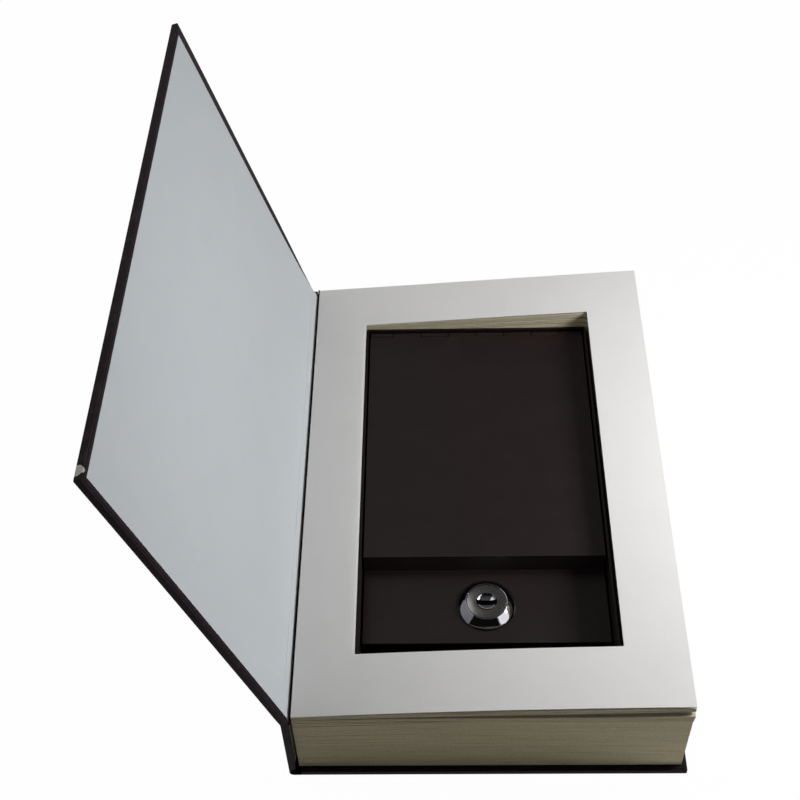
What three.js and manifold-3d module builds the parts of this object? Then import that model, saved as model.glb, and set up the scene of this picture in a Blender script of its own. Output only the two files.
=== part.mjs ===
// Book diversion safe: a case-bound book whose block is cut out for a small steel box.
// The box has a stepped lid on a piano hinge and a cam lock with a quarter turn.
// Millimetres, +Z up, book lying on its back cover with the front cover standing open.
// Book coordinates: x from the block's spine side to its fore-edge, y from tail to head.
// The finished model's origin is under the middle of the block, on the back cover's outside.

import * as THREE from "three";
import { mergeVertices } from "three/addons/utils/BufferGeometryUtils.js";
import Module from "manifold-3d";

const wasm = await Module();
wasm.setup();

// Page block
const blockWidth = 155;
const blockLength = 235;
const blockHeight = 41;
const foreRiseTail = 6.5;
const foreRiseHead = 11;
const tailBulge = 1.4;

// Cut-out through the pages, as margins of paper left round it
const spineMargin = 24;
const foreMargin = 25;
const tailMargin = 26.6;
const headMargin = 26;

// Loose leaves over the glued block
const flyleafThickness = 0.3;
const leafGroupThickness = 2.2;
const leafGroupCount = 3;
const leafGap = 0.3;
const leafFan = 0.8;
const leafCutBack = 0.8;

// Case: boards, cloth and papers
const boardWidth = 156.2;
const boardThickness = 1.9;
const spineBoardThickness = 1.8;
const clothThickness = 0.3;
const coverGap = 0.3;
const square = 2.5;
const turnIn = 2.3;
const backBoardStart = 1.1;
const spineHollow = 1;
const spineFoot = 4.6;
const spineBelowLeaves = 2.6;
const jointThickness = 0.6;
const rearJointRadius = 2.2;
const blockLiningThickness = 0.4;

// Front cover and its hinge on the spine
const coverOpenAngle = 106.95;
const coverHingeRise = 3.3;
const coverHingeToBoard = 3;
const coverHingeToFace = 0.64;

// Steel box and lid
const steel = 1;
const lidSideGap = 2;
const lidHeadGap = 1.4;
const lidTailGap = 12.4;
const lidRecess = 2;
const lidFit = 0.6;
const lidSeat = 0.3;
const lidSideFlange = 5;
const lidFrontFlange = 7;
const lockStep = 9;
const lockPanelLength = 36.5;
const riserLean = 1;
const trayCornerRadius = 1.2;
const trayToPages = 0.1;
const rimOverLid = 0.6;
const boxGlue = 0.4;
const boxGlueInset = 16;

// Piano hinge at the head end
const knuckleRadius = 1.6;
const knucklePitch = 13.35;
const knuckleCount = 8;
const knuckleGap = 0.4;
const pinRadius = 0.7;
const pinClearance = 0.05;
const pinEndInset = 0.4;

// Cam lock, measured from the lock panel's top face
const lockFromPanelFront = 17.9;
const lockOffCentre = 0.5;
const lockFlangeRadius = 12.1;
const lockFlangeHeight = 3.3;
const lockFlangeFoot = 0.5;
const lockRimRadius = 8.9;
const lockFaceRadius = 7.9;
const lockFaceDepth = 1.8;
const barrelRadius = 8;
const barrelFlat = 7;
const barrelDrop = 11.5;
const barrelClearance = 0.2;
const plugRadius = 5.5;
const plugClearance = 0.05;
const dishRadius = 4.2;
const dishDepth = 1.1;
const keySlotLength = 8.6;
const keySlotWidth = 2.3;
const keySlotDepth = 14;
const washerRadius = 11;
const washerThickness = 0.8;
const nutAcrossFlats = 20;
const nutThickness = 4;
const seatGap = 0.1;

// Wafers in the lock plug
const waferCount = 3;
const waferPitch = 2.6;
const waferTopDrop = 4;
const waferLength = 9.6;
const waferWidth = 4.4;
const waferThickness = 1;
const waferWindowLength = 5.6;
const waferWindowWidth = 2.6;
const waferClearance = 0.1;
const waferTravel = 0.8;
const waferSlotWidth = 5;

// Cam, its screw and the catch on the box's inner front wall
const camSquare = 5;
const camThickness = 1.6;
const camWidth = 8;
const camHubRadius = 5.5;
const camReach = 13.8;
const camClearance = 0.08;
const screwHeadRadius = 3.5;
const screwHeadHeight = 2;
const screwShankRadius = 1.7;
const screwHoleRadius = 1.8;
const screwLength = 3.6;
const screwSlotWidth = 0.8;
const screwSlotDepth = 0.9;
const camWasherRadius = 4.6;
const camWasherThickness = 0.6;
const catchWidth = 16;
const catchThickness = 1;
const catchLip = 6.5;
const catchHeight = 7.5;
const catchOverCam = 0.4;
const rivetRadius = 1.5;
const rivetHeadRadius = 2.4;
const rivetHeadHeight = 0.8;
const rivetSpacing = 9;
const rivetClearance = 0.1;

// Worked-out places
const coverThickness = 2 * clothThickness + 2 * coverGap + boardThickness;
const spineThickness = 2 * clothThickness + 2 * coverGap + spineBoardThickness;
const caseLength = blockLength + 2 * square;
const blockFoot = coverThickness + seatGap;
const leafTop = coverThickness + blockHeight;
const spineInner = -spineHollow;
const spineOuter = spineInner - spineThickness;
const spineTop = leafTop - spineBelowLeaves;
const spineWidth = spineTop - spineFoot;
const caseHingeX = (spineInner + spineOuter) / 2;
const coverHingeZ = spineTop + coverHingeRise;

const cut = {
  x0: spineMargin,
  x1: blockWidth - foreMargin,
  y0: tailMargin,
  y1: blockLength - headMargin,
};
const lid = {
  x0: cut.x0 + lidSideGap,
  x1: cut.x1 - lidSideGap,
  front: cut.y0 + lidTailGap,
  top: leafTop - lidRecess,
};
lid.centreX = (lid.x0 + lid.x1) / 2;
lid.low = lid.top - lockStep;
lid.riser = lid.front + lockPanelLength;

const hinge = {
  y: cut.y1 - lidHeadGap - knuckleRadius,
  z: lid.top - knuckleRadius,
};
const tray = {
  x0: cut.x0 + trayToPages,
  x1: cut.x1 - trayToPages,
  y0: cut.y0 + trayToPages,
  y1: cut.y1 - trayToPages,
  foot: coverThickness + boxGlue,
  rim: lid.top + rimOverLid,
};

// The tray's inner front wall: full width low down, and narrower between the lid's side flanges
const innerWall = {
  x0: lid.x0 + steel + lidFit,
  x1: lid.x1 - steel - lidFit,
  y0: lid.front + steel + lidFit,
  shoulder: lid.low - lidFrontFlange - lidFit,
  top: lid.low - steel - lidSeat,
};
const lock = {
  x: lid.centreX + lockOffCentre,
  y: lid.front + lockFromPanelFront,
  z: lid.low,
};
const bore = pinRadius + pinClearance;
const plugBore = plugRadius + plugClearance;
const boreSides = 24;
const roundSides = 40;

// Materials
const clothMaterial = new THREE.MeshStandardMaterial({ color: 0x2d1e26, roughness: 0.85, metalness: 0 });
const boardMaterial = new THREE.MeshStandardMaterial({ color: 0x8d8170, roughness: 0.95, metalness: 0 });
const endpaperMaterial = new THREE.MeshStandardMaterial({ color: 0xb9bdc6, roughness: 0.9, metalness: 0 });
const paperMaterial = new THREE.MeshStandardMaterial({ color: 0xc9c5ba, roughness: 0.9, metalness: 0 });
const liningMaterial = new THREE.MeshStandardMaterial({ color: 0xb3a88f, roughness: 0.95, metalness: 0 });
const glueMaterial = new THREE.MeshStandardMaterial({ color: 0xd9cfa8, roughness: 0.6, metalness: 0 });
const paintMaterial = new THREE.MeshStandardMaterial({ color: 0x221e1e, roughness: 0.6, metalness: 0.2 });
const chromeMaterial = new THREE.MeshStandardMaterial({ color: 0xd8d8da, roughness: 0.12, metalness: 1 });
const plugMaterial = new THREE.MeshStandardMaterial({ color: 0x9a9a98, roughness: 0.4, metalness: 1 });
const zincMaterial = new THREE.MeshStandardMaterial({ color: 0xaeb0b2, roughness: 0.35, metalness: 1 });
const brassMaterial = new THREE.MeshStandardMaterial({ color: 0xb8964a, roughness: 0.35, metalness: 1 });

// Shapes as solids, and solids as geometry
function solidOf(geometry) {
  const bare = geometry.clone();
  bare.deleteAttribute("normal");
  bare.deleteAttribute("uv");
  const merged = mergeVertices(bare, 1e-4);
  return new wasm.Manifold(new wasm.Mesh({
    numProp: 3,
    vertProperties: new Float32Array(merged.attributes.position.array),
    triVerts: new Uint32Array(merged.index.array),
  }));
}

function geometryOf(solid) {
  const data = solid.getMesh();
  const geometry = new THREE.BufferGeometry();
  geometry.setAttribute("position", new THREE.BufferAttribute(new Float32Array(data.vertProperties), 3));
  geometry.setIndex(new THREE.BufferAttribute(new Uint32Array(data.triVerts), 1));
  geometry.computeVertexNormals();
  return geometry;
}

function namedMesh(name, solid, material) {
  const mesh = new THREE.Mesh(geometryOf(solid), material);
  mesh.name = name;
  return mesh;
}

function block(x0, x1, y0, y1, z0, z1) {
  const geometry = new THREE.BoxGeometry(x1 - x0, y1 - y0, z1 - z0);
  geometry.translate((x0 + x1) / 2, (y0 + y1) / 2, (z0 + z1) / 2);
  return solidOf(geometry);
}

function outlineShape(points) {
  return new THREE.Shape(points.map(([u, v]) => new THREE.Vector2(u, v)));
}

// A section in x and z, run along y
function alongY(shape, y0, y1, curveSegments = 8) {
  const geometry = new THREE.ExtrudeGeometry(shape, { depth: y1 - y0, bevelEnabled: false, curveSegments });
  geometry.rotateX(Math.PI / 2);
  geometry.translate(0, y1, 0);
  return solidOf(geometry);
}

// A section in y and z, run along x
function alongX(shape, x0, x1) {
  const geometry = new THREE.ExtrudeGeometry(shape, { depth: x1 - x0, bevelEnabled: false });
  const turn = new THREE.Matrix4().makeBasis(
    new THREE.Vector3(0, 1, 0),
    new THREE.Vector3(0, 0, 1),
    new THREE.Vector3(1, 0, 0),
  );
  geometry.applyMatrix4(turn);
  geometry.translate(x0, 0, 0);
  return solidOf(geometry);
}

function alongZ(shape, z0, z1, curveSegments = 6) {
  const geometry = new THREE.ExtrudeGeometry(shape, { depth: z1 - z0, bevelEnabled: false, curveSegments });
  geometry.translate(0, 0, z0);
  return solidOf(geometry);
}

function rodX(radius, x0, x1, y, z, sides = boreSides) {
  const geometry = new THREE.CylinderGeometry(radius, radius, x1 - x0, sides);
  geometry.rotateZ(Math.PI / 2);
  geometry.translate((x0 + x1) / 2, y, z);
  return solidOf(geometry);
}

function rodY(radius, y0, y1, x, z, sides = boreSides) {
  const geometry = new THREE.CylinderGeometry(radius, radius, y1 - y0, sides);
  geometry.translate(x, (y0 + y1) / 2, z);
  return solidOf(geometry);
}

// A turned profile of [radius, height] points about the lock's axis
function turned(profile, sides = roundSides) {
  const geometry = new THREE.LatheGeometry(profile.map(([r, z]) => new THREE.Vector2(r, z)), sides);
  geometry.rotateX(Math.PI / 2);
  return solidOf(geometry);
}

function disc(radius, z0, z1, sides = roundSides) {
  return turned([[0, z0], [radius, z0], [radius, z1], [0, z1]], sides);
}

function roundedRectangle(x0, x1, y0, y1, radius) {
  const shape = new THREE.Shape();
  shape.moveTo(x0 + radius, y0);
  shape.lineTo(x1 - radius, y0);
  shape.absarc(x1 - radius, y0 + radius, radius, -Math.PI / 2, 0, false);
  shape.lineTo(x1, y1 - radius);
  shape.absarc(x1 - radius, y1 - radius, radius, 0, Math.PI / 2, false);
  shape.lineTo(x0 + radius, y1);
  shape.absarc(x0 + radius, y1 - radius, radius, Math.PI / 2, Math.PI, false);
  shape.lineTo(x0, y0 + radius);
  shape.absarc(x0 + radius, y0 + radius, radius, Math.PI, 1.5 * Math.PI, false);
  return shape;
}

// Leaves and block

// How far the lifted leaves rise above their spine edge
function leafRise(x, y) {
  const across = x / blockWidth;
  const towardsHead = y / blockLength;
  const rise = foreRiseTail + (foreRiseHead - foreRiseTail) * towardsHead;
  const bulge = tailBulge * 4 * across * (1 - across) * (1 - towardsHead);
  return across * rise + bulge;
}

// Top of level 0 (flyleaf), 1 and up (leaf groups) and the last (the glued block)
function levelTopAtSpine(level) {
  if (level === 0) {
    return leafTop;
  }
  const groupsAbove = level - 1;
  return leafTop - flyleafThickness - leafGap - groupsAbove * (leafGroupThickness + leafGap);
}

function levelTop(level) {
  const start = levelTopAtSpine(level);
  return (x, y) => start + leafRise(x, y) - level * leafFan * (x / blockWidth);
}

function gridLines(stops, steps) {
  const lines = [];
  for (let i = 0; i + 1 < stops.length; i += 1) {
    for (let k = 0; k < steps[i]; k += 1) {
      lines.push(stops[i] + (stops[i + 1] - stops[i]) * (k / steps[i]));
    }
  }
  lines.push(stops[stops.length - 1]);
  return lines;
}

// A sheet or block of pages with the cut-out through it, between two height functions
function cutPages(topAt, footAt, cutStart = cut.x0) {
  const xs = gridLines([0, cutStart, cut.x1, blockWidth], [2, 6, 2]);
  const ys = gridLines([0, cut.y0, cut.y1, blockLength], [1, 3, 1]);
  const rows = ys.length;
  const isPaper = (i, k) => {
    if (i < 0 || k < 0 || i + 1 >= xs.length || k + 1 >= rows) {
      return false;
    }
    const x = (xs[i] + xs[i + 1]) / 2;
    const y = (ys[k] + ys[k + 1]) / 2;
    return !(x > cutStart && x < cut.x1 && y > cut.y0 && y < cut.y1);
  };
  const positions = [];
  for (const heightAt of [footAt, topAt]) {
    for (const x of xs) {
      for (const y of ys) {
        positions.push(x, y, heightAt(x, y));
      }
    }
  }
  const layer = xs.length * rows;
  const foot = (i, k) => i * rows + k;
  const top = (i, k) => layer + foot(i, k);
  const faces = [];
  const quad = (a, b, c, d) => faces.push(a, b, c, a, c, d);
  for (let i = 0; i + 1 < xs.length; i += 1) {
    for (let k = 0; k + 1 < rows; k += 1) {
      if (!isPaper(i, k)) {
        continue;
      }
      quad(top(i, k), top(i + 1, k), top(i + 1, k + 1), top(i, k + 1));
      quad(foot(i, k), foot(i, k + 1), foot(i + 1, k + 1), foot(i + 1, k));
      if (!isPaper(i, k - 1)) {
        quad(foot(i, k), foot(i + 1, k), top(i + 1, k), top(i, k));
      }
      if (!isPaper(i, k + 1)) {
        quad(foot(i + 1, k + 1), foot(i, k + 1), top(i, k + 1), top(i + 1, k + 1));
      }
      if (!isPaper(i - 1, k)) {
        quad(foot(i, k + 1), foot(i, k), top(i, k), top(i, k + 1));
      }
      if (!isPaper(i + 1, k)) {
        quad(foot(i + 1, k), foot(i + 1, k + 1), top(i + 1, k + 1), top(i + 1, k));
      }
    }
  }
  const geometry = new THREE.BufferGeometry();
  geometry.setAttribute("position", new THREE.BufferAttribute(new Float32Array(positions), 3));
  geometry.setIndex(faces);
  return solidOf(geometry);
}

function pageBlock() {
  const level = leafGroupCount + 1;
  const body = cutPages(levelTop(level), () => blockFoot);
  return namedMesh("page_block", body, paperMaterial);
}

function flyleaf() {
  const top = levelTop(0);
  const body = cutPages(top, (x, y) => top(x, y) - flyleafThickness);
  return namedMesh("flyleaf", body, endpaperMaterial);
}

function looseLeaves() {
  const leaves = [];
  for (let level = 1; level <= leafGroupCount; level += 1) {
    const top = levelTop(level);
    const foot = (x, y) => top(x, y) - leafGroupThickness;
    const body = cutPages(top, foot, cut.x0 - leafCutBack);
    leaves.push(namedMesh(`loose_leaves_${level}`, body, paperMaterial));
  }
  return leaves;
}

function blockLining() {
  const x1 = -seatGap;
  const z1 = levelTopAtSpine(leafGroupCount + 1);
  const body = block(x1 - blockLiningThickness, x1, square, blockLength - square, blockFoot, z1);
  return namedMesh("block_spine_lining", body, liningMaterial);
}

// Case

// Cloth round a board: skin outside, walls round the edges, turn-ins inside.
// The outer face is at z = 0 and the inner face at z = thickness, centred in x and y.
function coverCloth(width, length, thickness) {
  const pocketX = width / 2 - clothThickness;
  const pocketY = length / 2 - clothThickness;
  const windowX = width / 2 - turnIn;
  const windowY = length / 2 - turnIn;
  const skin = block(-width / 2, width / 2, -length / 2, length / 2, 0, thickness);
  const pocket = block(-pocketX, pocketX, -pocketY, pocketY, clothThickness, thickness - clothThickness);
  const window = block(-windowX, windowX, -windowY, windowY, thickness / 2, thickness + 1);
  return skin.subtract(pocket).subtract(window);
}

function coverBoard(width, length, thickness) {
  const x = width / 2 - clothThickness - coverGap;
  const y = length / 2 - clothThickness - coverGap;
  const z = clothThickness + coverGap;
  return block(-x, x, -y, y, z, thickness - z);
}

// Paper pasted inside the turn-ins, flush with them
function coverPaper(width, length, thickness) {
  const x = width / 2 - turnIn - coverGap;
  const y = length / 2 - turnIn - coverGap;
  return block(-x, x, -y, y, thickness - clothThickness, thickness);
}

function coverPanel(names, width, thickness, paper) {
  const panel = new THREE.Group();
  panel.add(namedMesh(names.cloth, coverCloth(width, caseLength, thickness), clothMaterial));
  panel.add(namedMesh(names.board, coverBoard(width, caseLength, thickness), boardMaterial));
  panel.add(namedMesh(names.paper, coverPaper(width, caseLength, thickness), paper));
  return panel;
}

function backCover() {
  const names = { cloth: "back_cover_cloth", board: "back_board", paper: "back_pastedown" };
  const panel = coverPanel(names, boardWidth, coverThickness, endpaperMaterial);
  panel.position.set(backBoardStart + boardWidth / 2, blockLength / 2, 0);
  return panel;
}

function spine() {
  const names = { cloth: "spine_cloth", board: "spine_board", paper: "spine_lining" };
  const panel = coverPanel(names, spineWidth, spineThickness, liningMaterial);
  panel.rotation.y = Math.PI / 2;
  panel.position.set(spineOuter, blockLength / 2, spineFoot + spineWidth / 2);
  return panel;
}

// The front cover is laid out closed, its inner face down, then turned open about its hinge
function frontCover() {
  const names = { cloth: "front_cover_cloth", board: "front_board", paper: "front_pastedown" };
  const panel = coverPanel(names, boardWidth, coverThickness, endpaperMaterial);
  panel.rotation.x = Math.PI;
  panel.position.set(coverHingeToBoard + boardWidth / 2, 0, coverThickness - coverHingeToFace);
  const turn = new THREE.Group();
  turn.add(panel);
  turn.rotation.y = -THREE.MathUtils.degToRad(coverOpenAngle);
  turn.position.set(caseHingeX, blockLength / 2, coverHingeZ);
  return turn;
}

// Cloth joint between back cover and spine: flat under the block, then round up to the spine
function rearJoint() {
  const radius = rearJointRadius;
  const centreX = spineOuter + radius;
  const flatEnd = backBoardStart - coverGap;
  const upperEnd = spineFoot - coverGap;
  const section = new THREE.Shape();
  section.moveTo(flatEnd, 0);
  section.lineTo(flatEnd, jointThickness);
  section.lineTo(centreX, jointThickness);
  section.absarc(centreX, radius, radius - jointThickness, 1.5 * Math.PI, Math.PI, true);
  section.lineTo(spineOuter + jointThickness, upperEnd);
  section.lineTo(spineOuter, upperEnd);
  section.lineTo(spineOuter, radius);
  section.absarc(centreX, radius, radius, Math.PI, 1.5 * Math.PI, false);
  const body = alongY(section, -square, blockLength + square);
  return namedMesh("rear_joint_cloth", body, clothMaterial);
}

// Cloth and paper joint from the spine's inner top corner to the front cover's inner foot
function frontJoint() {
  const angle = THREE.MathUtils.degToRad(coverOpenAngle);
  const along = new THREE.Vector2(Math.cos(angle), Math.sin(angle));
  const inward = new THREE.Vector2(Math.sin(angle), -Math.cos(angle));
  const low = new THREE.Vector2(spineInner, spineTop + coverGap);
  const high = new THREE.Vector2(caseHingeX, coverHingeZ)
    .addScaledVector(inward, coverHingeToFace)
    .addScaledVector(along, coverHingeToBoard - coverGap);
  const outward = high.clone().sub(low).normalize().rotateAround(new THREE.Vector2(), Math.PI / 2);
  const lowOut = low.clone().add(new THREE.Vector2(-jointThickness, 0));
  const highOut = high.clone().addScaledVector(outward, jointThickness);
  const section = new THREE.Shape([low, high, highOut, lowOut]);
  const body = alongY(section, -square, blockLength + square);
  return namedMesh("front_joint_cloth", body, clothMaterial);
}

// Steel box

// Segment i of the piano hinge, trimmed to the lid's width at both ends
function knuckleSpan(i) {
  const edge = (k) => {
    if (k === 0) {
      return lid.x0;
    }
    if (k === knuckleCount) {
      return lid.x1;
    }
    return lid.centreX + (k - knuckleCount / 2) * knucklePitch;
  };
  return [edge(i) + knuckleGap / 2, edge(i + 1) - knuckleGap / 2];
}

function boxTray() {
  const outline = roundedRectangle(tray.x0, tray.x1, tray.y0, tray.y1, trayCornerRadius);
  const inner = roundedRectangle(
    tray.x0 + steel, tray.x1 - steel, tray.y0 + steel, tray.y1 - steel, trayCornerRadius - steel,
  );
  const wallX0 = tray.x0 + steel / 2;
  const wallX1 = tray.x1 - steel / 2;
  const wallY1 = innerWall.y0 + steel;
  const floor = tray.foot + steel / 2;
  let body = alongZ(outline, tray.foot, tray.rim);
  body = body.subtract(alongZ(inner, tray.foot + steel, tray.rim + 1));
  body = body.add(block(wallX0, wallX1, innerWall.y0, wallY1, floor, innerWall.shoulder));
  body = body.add(block(innerWall.x0, innerWall.x1, innerWall.y0, wallY1, floor, innerWall.top));
  for (let i = 0; i < knuckleCount; i += 2) {
    const [x0, x1] = knuckleSpan(i);
    const webFoot = hinge.z - knuckleRadius + knuckleGap;
    body = body.add(block(x0, x1, hinge.y, tray.y1 - steel / 2, webFoot, hinge.z));
    body = body.add(rodX(knuckleRadius, x0, x1, hinge.y, hinge.z));
  }
  body = body.subtract(rodX(bore, lid.x0, lid.x1, hinge.y, hinge.z));
  const xs = [-1, 1].map((side) => lock.x + side * rivetSpacing / 2);
  for (const x of xs) {
    const hole = rivetRadius + rivetClearance;
    body = body.subtract(rodY(hole, innerWall.y0 - 1, wallY1 + 1, x, rivetZ()));
  }
  return namedMesh("box_tray", body, paintMaterial);
}

function boxGluePad() {
  const body = block(
    tray.x0 + boxGlueInset, tray.x1 - boxGlueInset,
    tray.y0 + boxGlueInset, tray.y1 - boxGlueInset,
    coverThickness, tray.foot,
  );
  return namedMesh("box_glue", body, glueMaterial);
}

// The lid's side outline in y and z, grown inwards by the sheet's thickness where asked
function lidOutline(inset, rear) {
  const top = lid.top - inset;
  const low = lid.low - inset;
  const front = lid.front + inset;
  const riserFoot = lid.riser - riserLean + inset;
  const riserTop = lid.riser + inset;
  const deep = lid.low - lidFrontFlange;
  const shallow = lid.top - lidSideFlange;
  const slopeFoot = lid.riser + lidSideFlange;
  const slopeTop = slopeFoot + lidSideFlange;
  if (inset === 0) {
    return outlineShape([
      [front, deep], [slopeFoot, deep], [slopeTop, shallow], [rear, shallow],
      [rear, top], [riserTop, top], [riserFoot, low], [front, low],
    ]);
  }
  return outlineShape([
    [front, deep - 1], [rear, deep - 1], [rear, top], [riserTop, top], [riserFoot, low], [front, low],
  ]);
}

function lidPan() {
  const outer = alongX(lidOutline(0, hinge.y), lid.x0, lid.x1);
  const inner = alongX(lidOutline(steel, hinge.y + 1), lid.x0 + steel, lid.x1 - steel);
  const under = lid.top - steel;
  const reach = knuckleRadius + knuckleGap;
  let body = outer.subtract(inner);
  body = body.subtract(block(lid.x0 - 1, lid.x1 + 1, hinge.y - reach - lidSeat, hinge.y + 1, 0, under));
  for (let i = 0; i < knuckleCount; i += 2) {
    const [x0, x1] = knuckleSpan(i);
    const notch = [x0 - knuckleGap, x1 + knuckleGap, hinge.y - reach, hinge.y + 1, under - 1, lid.top + 1];
    body = body.subtract(block(...notch));
  }
  for (let i = 1; i < knuckleCount; i += 2) {
    const [x0, x1] = knuckleSpan(i);
    body = body.add(rodX(knuckleRadius, x0, x1, hinge.y, hinge.z));
  }
  body = body.subtract(rodX(bore, lid.x0 - 1, lid.x1 + 1, hinge.y, hinge.z));
  return namedMesh("lid", body.subtract(barrelOutline(barrelClearance, -2 * steel, 1)), paintMaterial);
}

function hingePin() {
  const body = rodX(pinRadius, lid.x0 + pinEndInset, lid.x1 - pinEndInset, hinge.y, hinge.z);
  return namedMesh("hinge_pin", body, zincMaterial);
}

// Lock, built about its own axis and then stood on the lock panel

// The barrel's outside, with its two flats, grown by a clearance
function barrelSection(grow, z0, z1) {
  const round = disc(barrelRadius + grow, z0, z1);
  const flat = barrelFlat + grow;
  const wide = barrelRadius + 1;
  return round.intersect(block(-wide, wide, -flat, flat, z0, z1));
}

function atLock(solid) {
  return solid.translate([lock.x, lock.y, lock.z]);
}

function barrelOutline(grow, z0, z1) {
  return atLock(barrelSection(grow, z0, z1));
}

function lockBody() {
  const flange = turned([
    [0, 0],
    [lockFlangeRadius, 0],
    [lockFlangeRadius, lockFlangeFoot],
    [lockRimRadius, lockFlangeHeight],
    [0, lockFlangeHeight],
  ]);
  const well = lockFlangeHeight - lockFaceDepth - seatGap;
  let body = flange.add(barrelSection(0, -barrelDrop, 0.01));
  body = body.subtract(disc(lockFaceRadius + 2 * plugClearance, well, lockFlangeHeight + 1));
  body = body.subtract(disc(plugBore, -barrelDrop - 1, lockFlangeHeight));
  const slotEnd = waferLength / 2 + waferTravel + 3 * waferClearance;
  const half = waferSlotWidth / 2;
  const slotTop = waferZ(0) + waferPitch / 2;
  const slotFoot = waferZ(waferCount - 1) - waferPitch / 2;
  body = body.subtract(block(0, slotEnd, -half, half, slotFoot, slotTop));
  body = body.subtract(block(-half, half, -slotEnd, 0, slotFoot, slotTop));
  return namedMesh("lock_body", atLock(body.translate([0, 0, seatGap])), chromeMaterial);
}

function lockWasher() {
  const z1 = -steel - seatGap;
  const ring = disc(washerRadius, z1 - washerThickness, z1);
  const body = ring.subtract(barrelSection(barrelClearance, z1 - washerThickness - 1, z1 + 1));
  return namedMesh("lock_washer", atLock(body), zincMaterial);
}

function lockNut() {
  const z1 = -steel - washerThickness - 2 * seatGap;
  const cornerRadius = nutAcrossFlats / Math.sqrt(3);
  const hex = disc(cornerRadius, z1 - nutThickness, z1, 6);
  const body = hex.subtract(disc(barrelRadius + seatGap, z1 - nutThickness - 1, z1 + 1));
  return namedMesh("lock_nut", atLock(body), zincMaterial);
}

function waferZ(i) {
  return -waferTopDrop - i * waferPitch;
}

function lockPlug() {
  const faceTop = lockFlangeHeight;
  const faceFoot = faceTop - lockFaceDepth;
  const shankFoot = -barrelDrop - seatGap;
  const tailFoot = shankFoot - seatGap - camThickness;
  let body = disc(lockFaceRadius, faceFoot, faceTop).add(disc(plugRadius, shankFoot, faceFoot + 0.01));
  const half = camSquare / 2;
  body = body.add(block(-half, half, -half, half, tailFoot, shankFoot + 0.01));
  body = body.subtract(turned([
    [0, faceTop - dishDepth],
    [dishRadius / 2, faceTop - dishDepth],
    [dishRadius, faceTop + seatGap],
    [0, faceTop + seatGap],
  ]));
  const slotX = keySlotLength / 2;
  const slotY = keySlotWidth / 2;
  body = body.subtract(block(-slotX, slotX, -slotY, slotY, faceTop - keySlotDepth, faceTop + 1));
  const waferY = waferWidth / 2 + waferClearance;
  const waferHalf = waferThickness / 2 + waferClearance;
  for (let i = 0; i < waferCount; i += 1) {
    const z = waferZ(i);
    const slot = block(-plugRadius - 1, plugRadius + 1, -waferY, waferY, z - waferHalf, z + waferHalf);
    body = body.subtract(slot);
  }
  const holeTop = tailFoot + screwLength - camWasherThickness;
  body = body.subtract(disc(screwHoleRadius, tailFoot - 1, holeTop, boreSides));
  return namedMesh("lock_plug", atLock(body.translate([0, 0, seatGap])), plugMaterial);
}

function lockWafers() {
  const wafers = [];
  const x = waferLength / 2;
  const y = waferWidth / 2;
  const windowX = waferWindowLength / 2;
  const windowY = waferWindowWidth / 2;
  for (let i = 0; i < waferCount; i += 1) {
    const z0 = waferZ(i) - waferThickness / 2;
    const z1 = z0 + waferThickness;
    const plate = block(-x, x, -y, y, z0, z1);
    const body = plate.subtract(block(-windowX, windowX, -windowY, windowY, z0 - 1, z1 + 1));
    wafers.push(namedMesh(`lock_wafer_${i + 1}`, atLock(body.translate([0, 0, seatGap])), brassMaterial));
  }
  return wafers;
}

function camTop() {
  return -barrelDrop - seatGap;
}

// The cam at rest points along +x, clear of the catch
function lockCam() {
  const z1 = camTop();
  const z0 = z1 - camThickness;
  const half = camWidth / 2;
  const hub = disc(camHubRadius, z0, z1);
  const arm = block(0, camReach - half, -half, half, z0, z1);
  const tip = disc(half, z0, z1).translate([camReach - half, 0, 0]);
  const hole = camSquare / 2 + camClearance;
  const body = hub.add(arm).add(tip).subtract(block(-hole, hole, -hole, hole, z0 - 1, z1 + 1));
  return namedMesh("lock_cam", atLock(body), zincMaterial);
}

function camWasher() {
  const z1 = camTop() - camThickness - seatGap;
  const z0 = z1 - camWasherThickness;
  const ring = disc(camWasherRadius, z0, z1, boreSides);
  const body = ring.subtract(disc(screwHoleRadius, z0 - 1, z1 + 1, boreSides));
  return namedMesh("cam_washer", atLock(body), zincMaterial);
}

function camScrew() {
  const z1 = camTop() - camThickness - camWasherThickness - 2 * seatGap;
  const head = disc(screwHeadRadius, z1 - screwHeadHeight, z1, boreSides);
  const shank = disc(screwShankRadius, z1 - 0.01, z1 + screwLength, boreSides);
  const headFoot = z1 - screwHeadHeight;
  const half = screwSlotWidth / 2;
  const slot = block(-screwHeadRadius, screwHeadRadius, -half, half, headFoot - 1, headFoot + screwSlotDepth);
  return namedMesh("cam_screw", atLock(head.add(shank).subtract(slot)), zincMaterial);
}

// Catch on the box's inner front wall: the locked cam stands below its lip
function catchLipFoot() {
  return lock.z + camTop() + catchOverCam;
}

function rivetZ() {
  return catchLipFoot() + catchHeight - rivetHeadRadius - seatGap;
}

function camCatch() {
  const y0 = innerWall.y0 + steel + seatGap;
  const z0 = catchLipFoot();
  const x0 = lock.x - catchWidth / 2;
  const x1 = lock.x + catchWidth / 2;
  const leaf = block(x0, x1, y0, y0 + catchThickness, z0, z0 + catchHeight);
  const lip = block(x0, x1, y0, y0 + catchLip, z0, z0 + catchThickness);
  let body = leaf.add(lip);
  for (const side of [-1, 1]) {
    const x = lock.x + side * rivetSpacing / 2;
    body = body.subtract(rodY(rivetRadius + rivetClearance, y0 - 1, y0 + catchThickness + 1, x, rivetZ()));
  }
  return namedMesh("cam_catch", body, zincMaterial);
}

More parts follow.
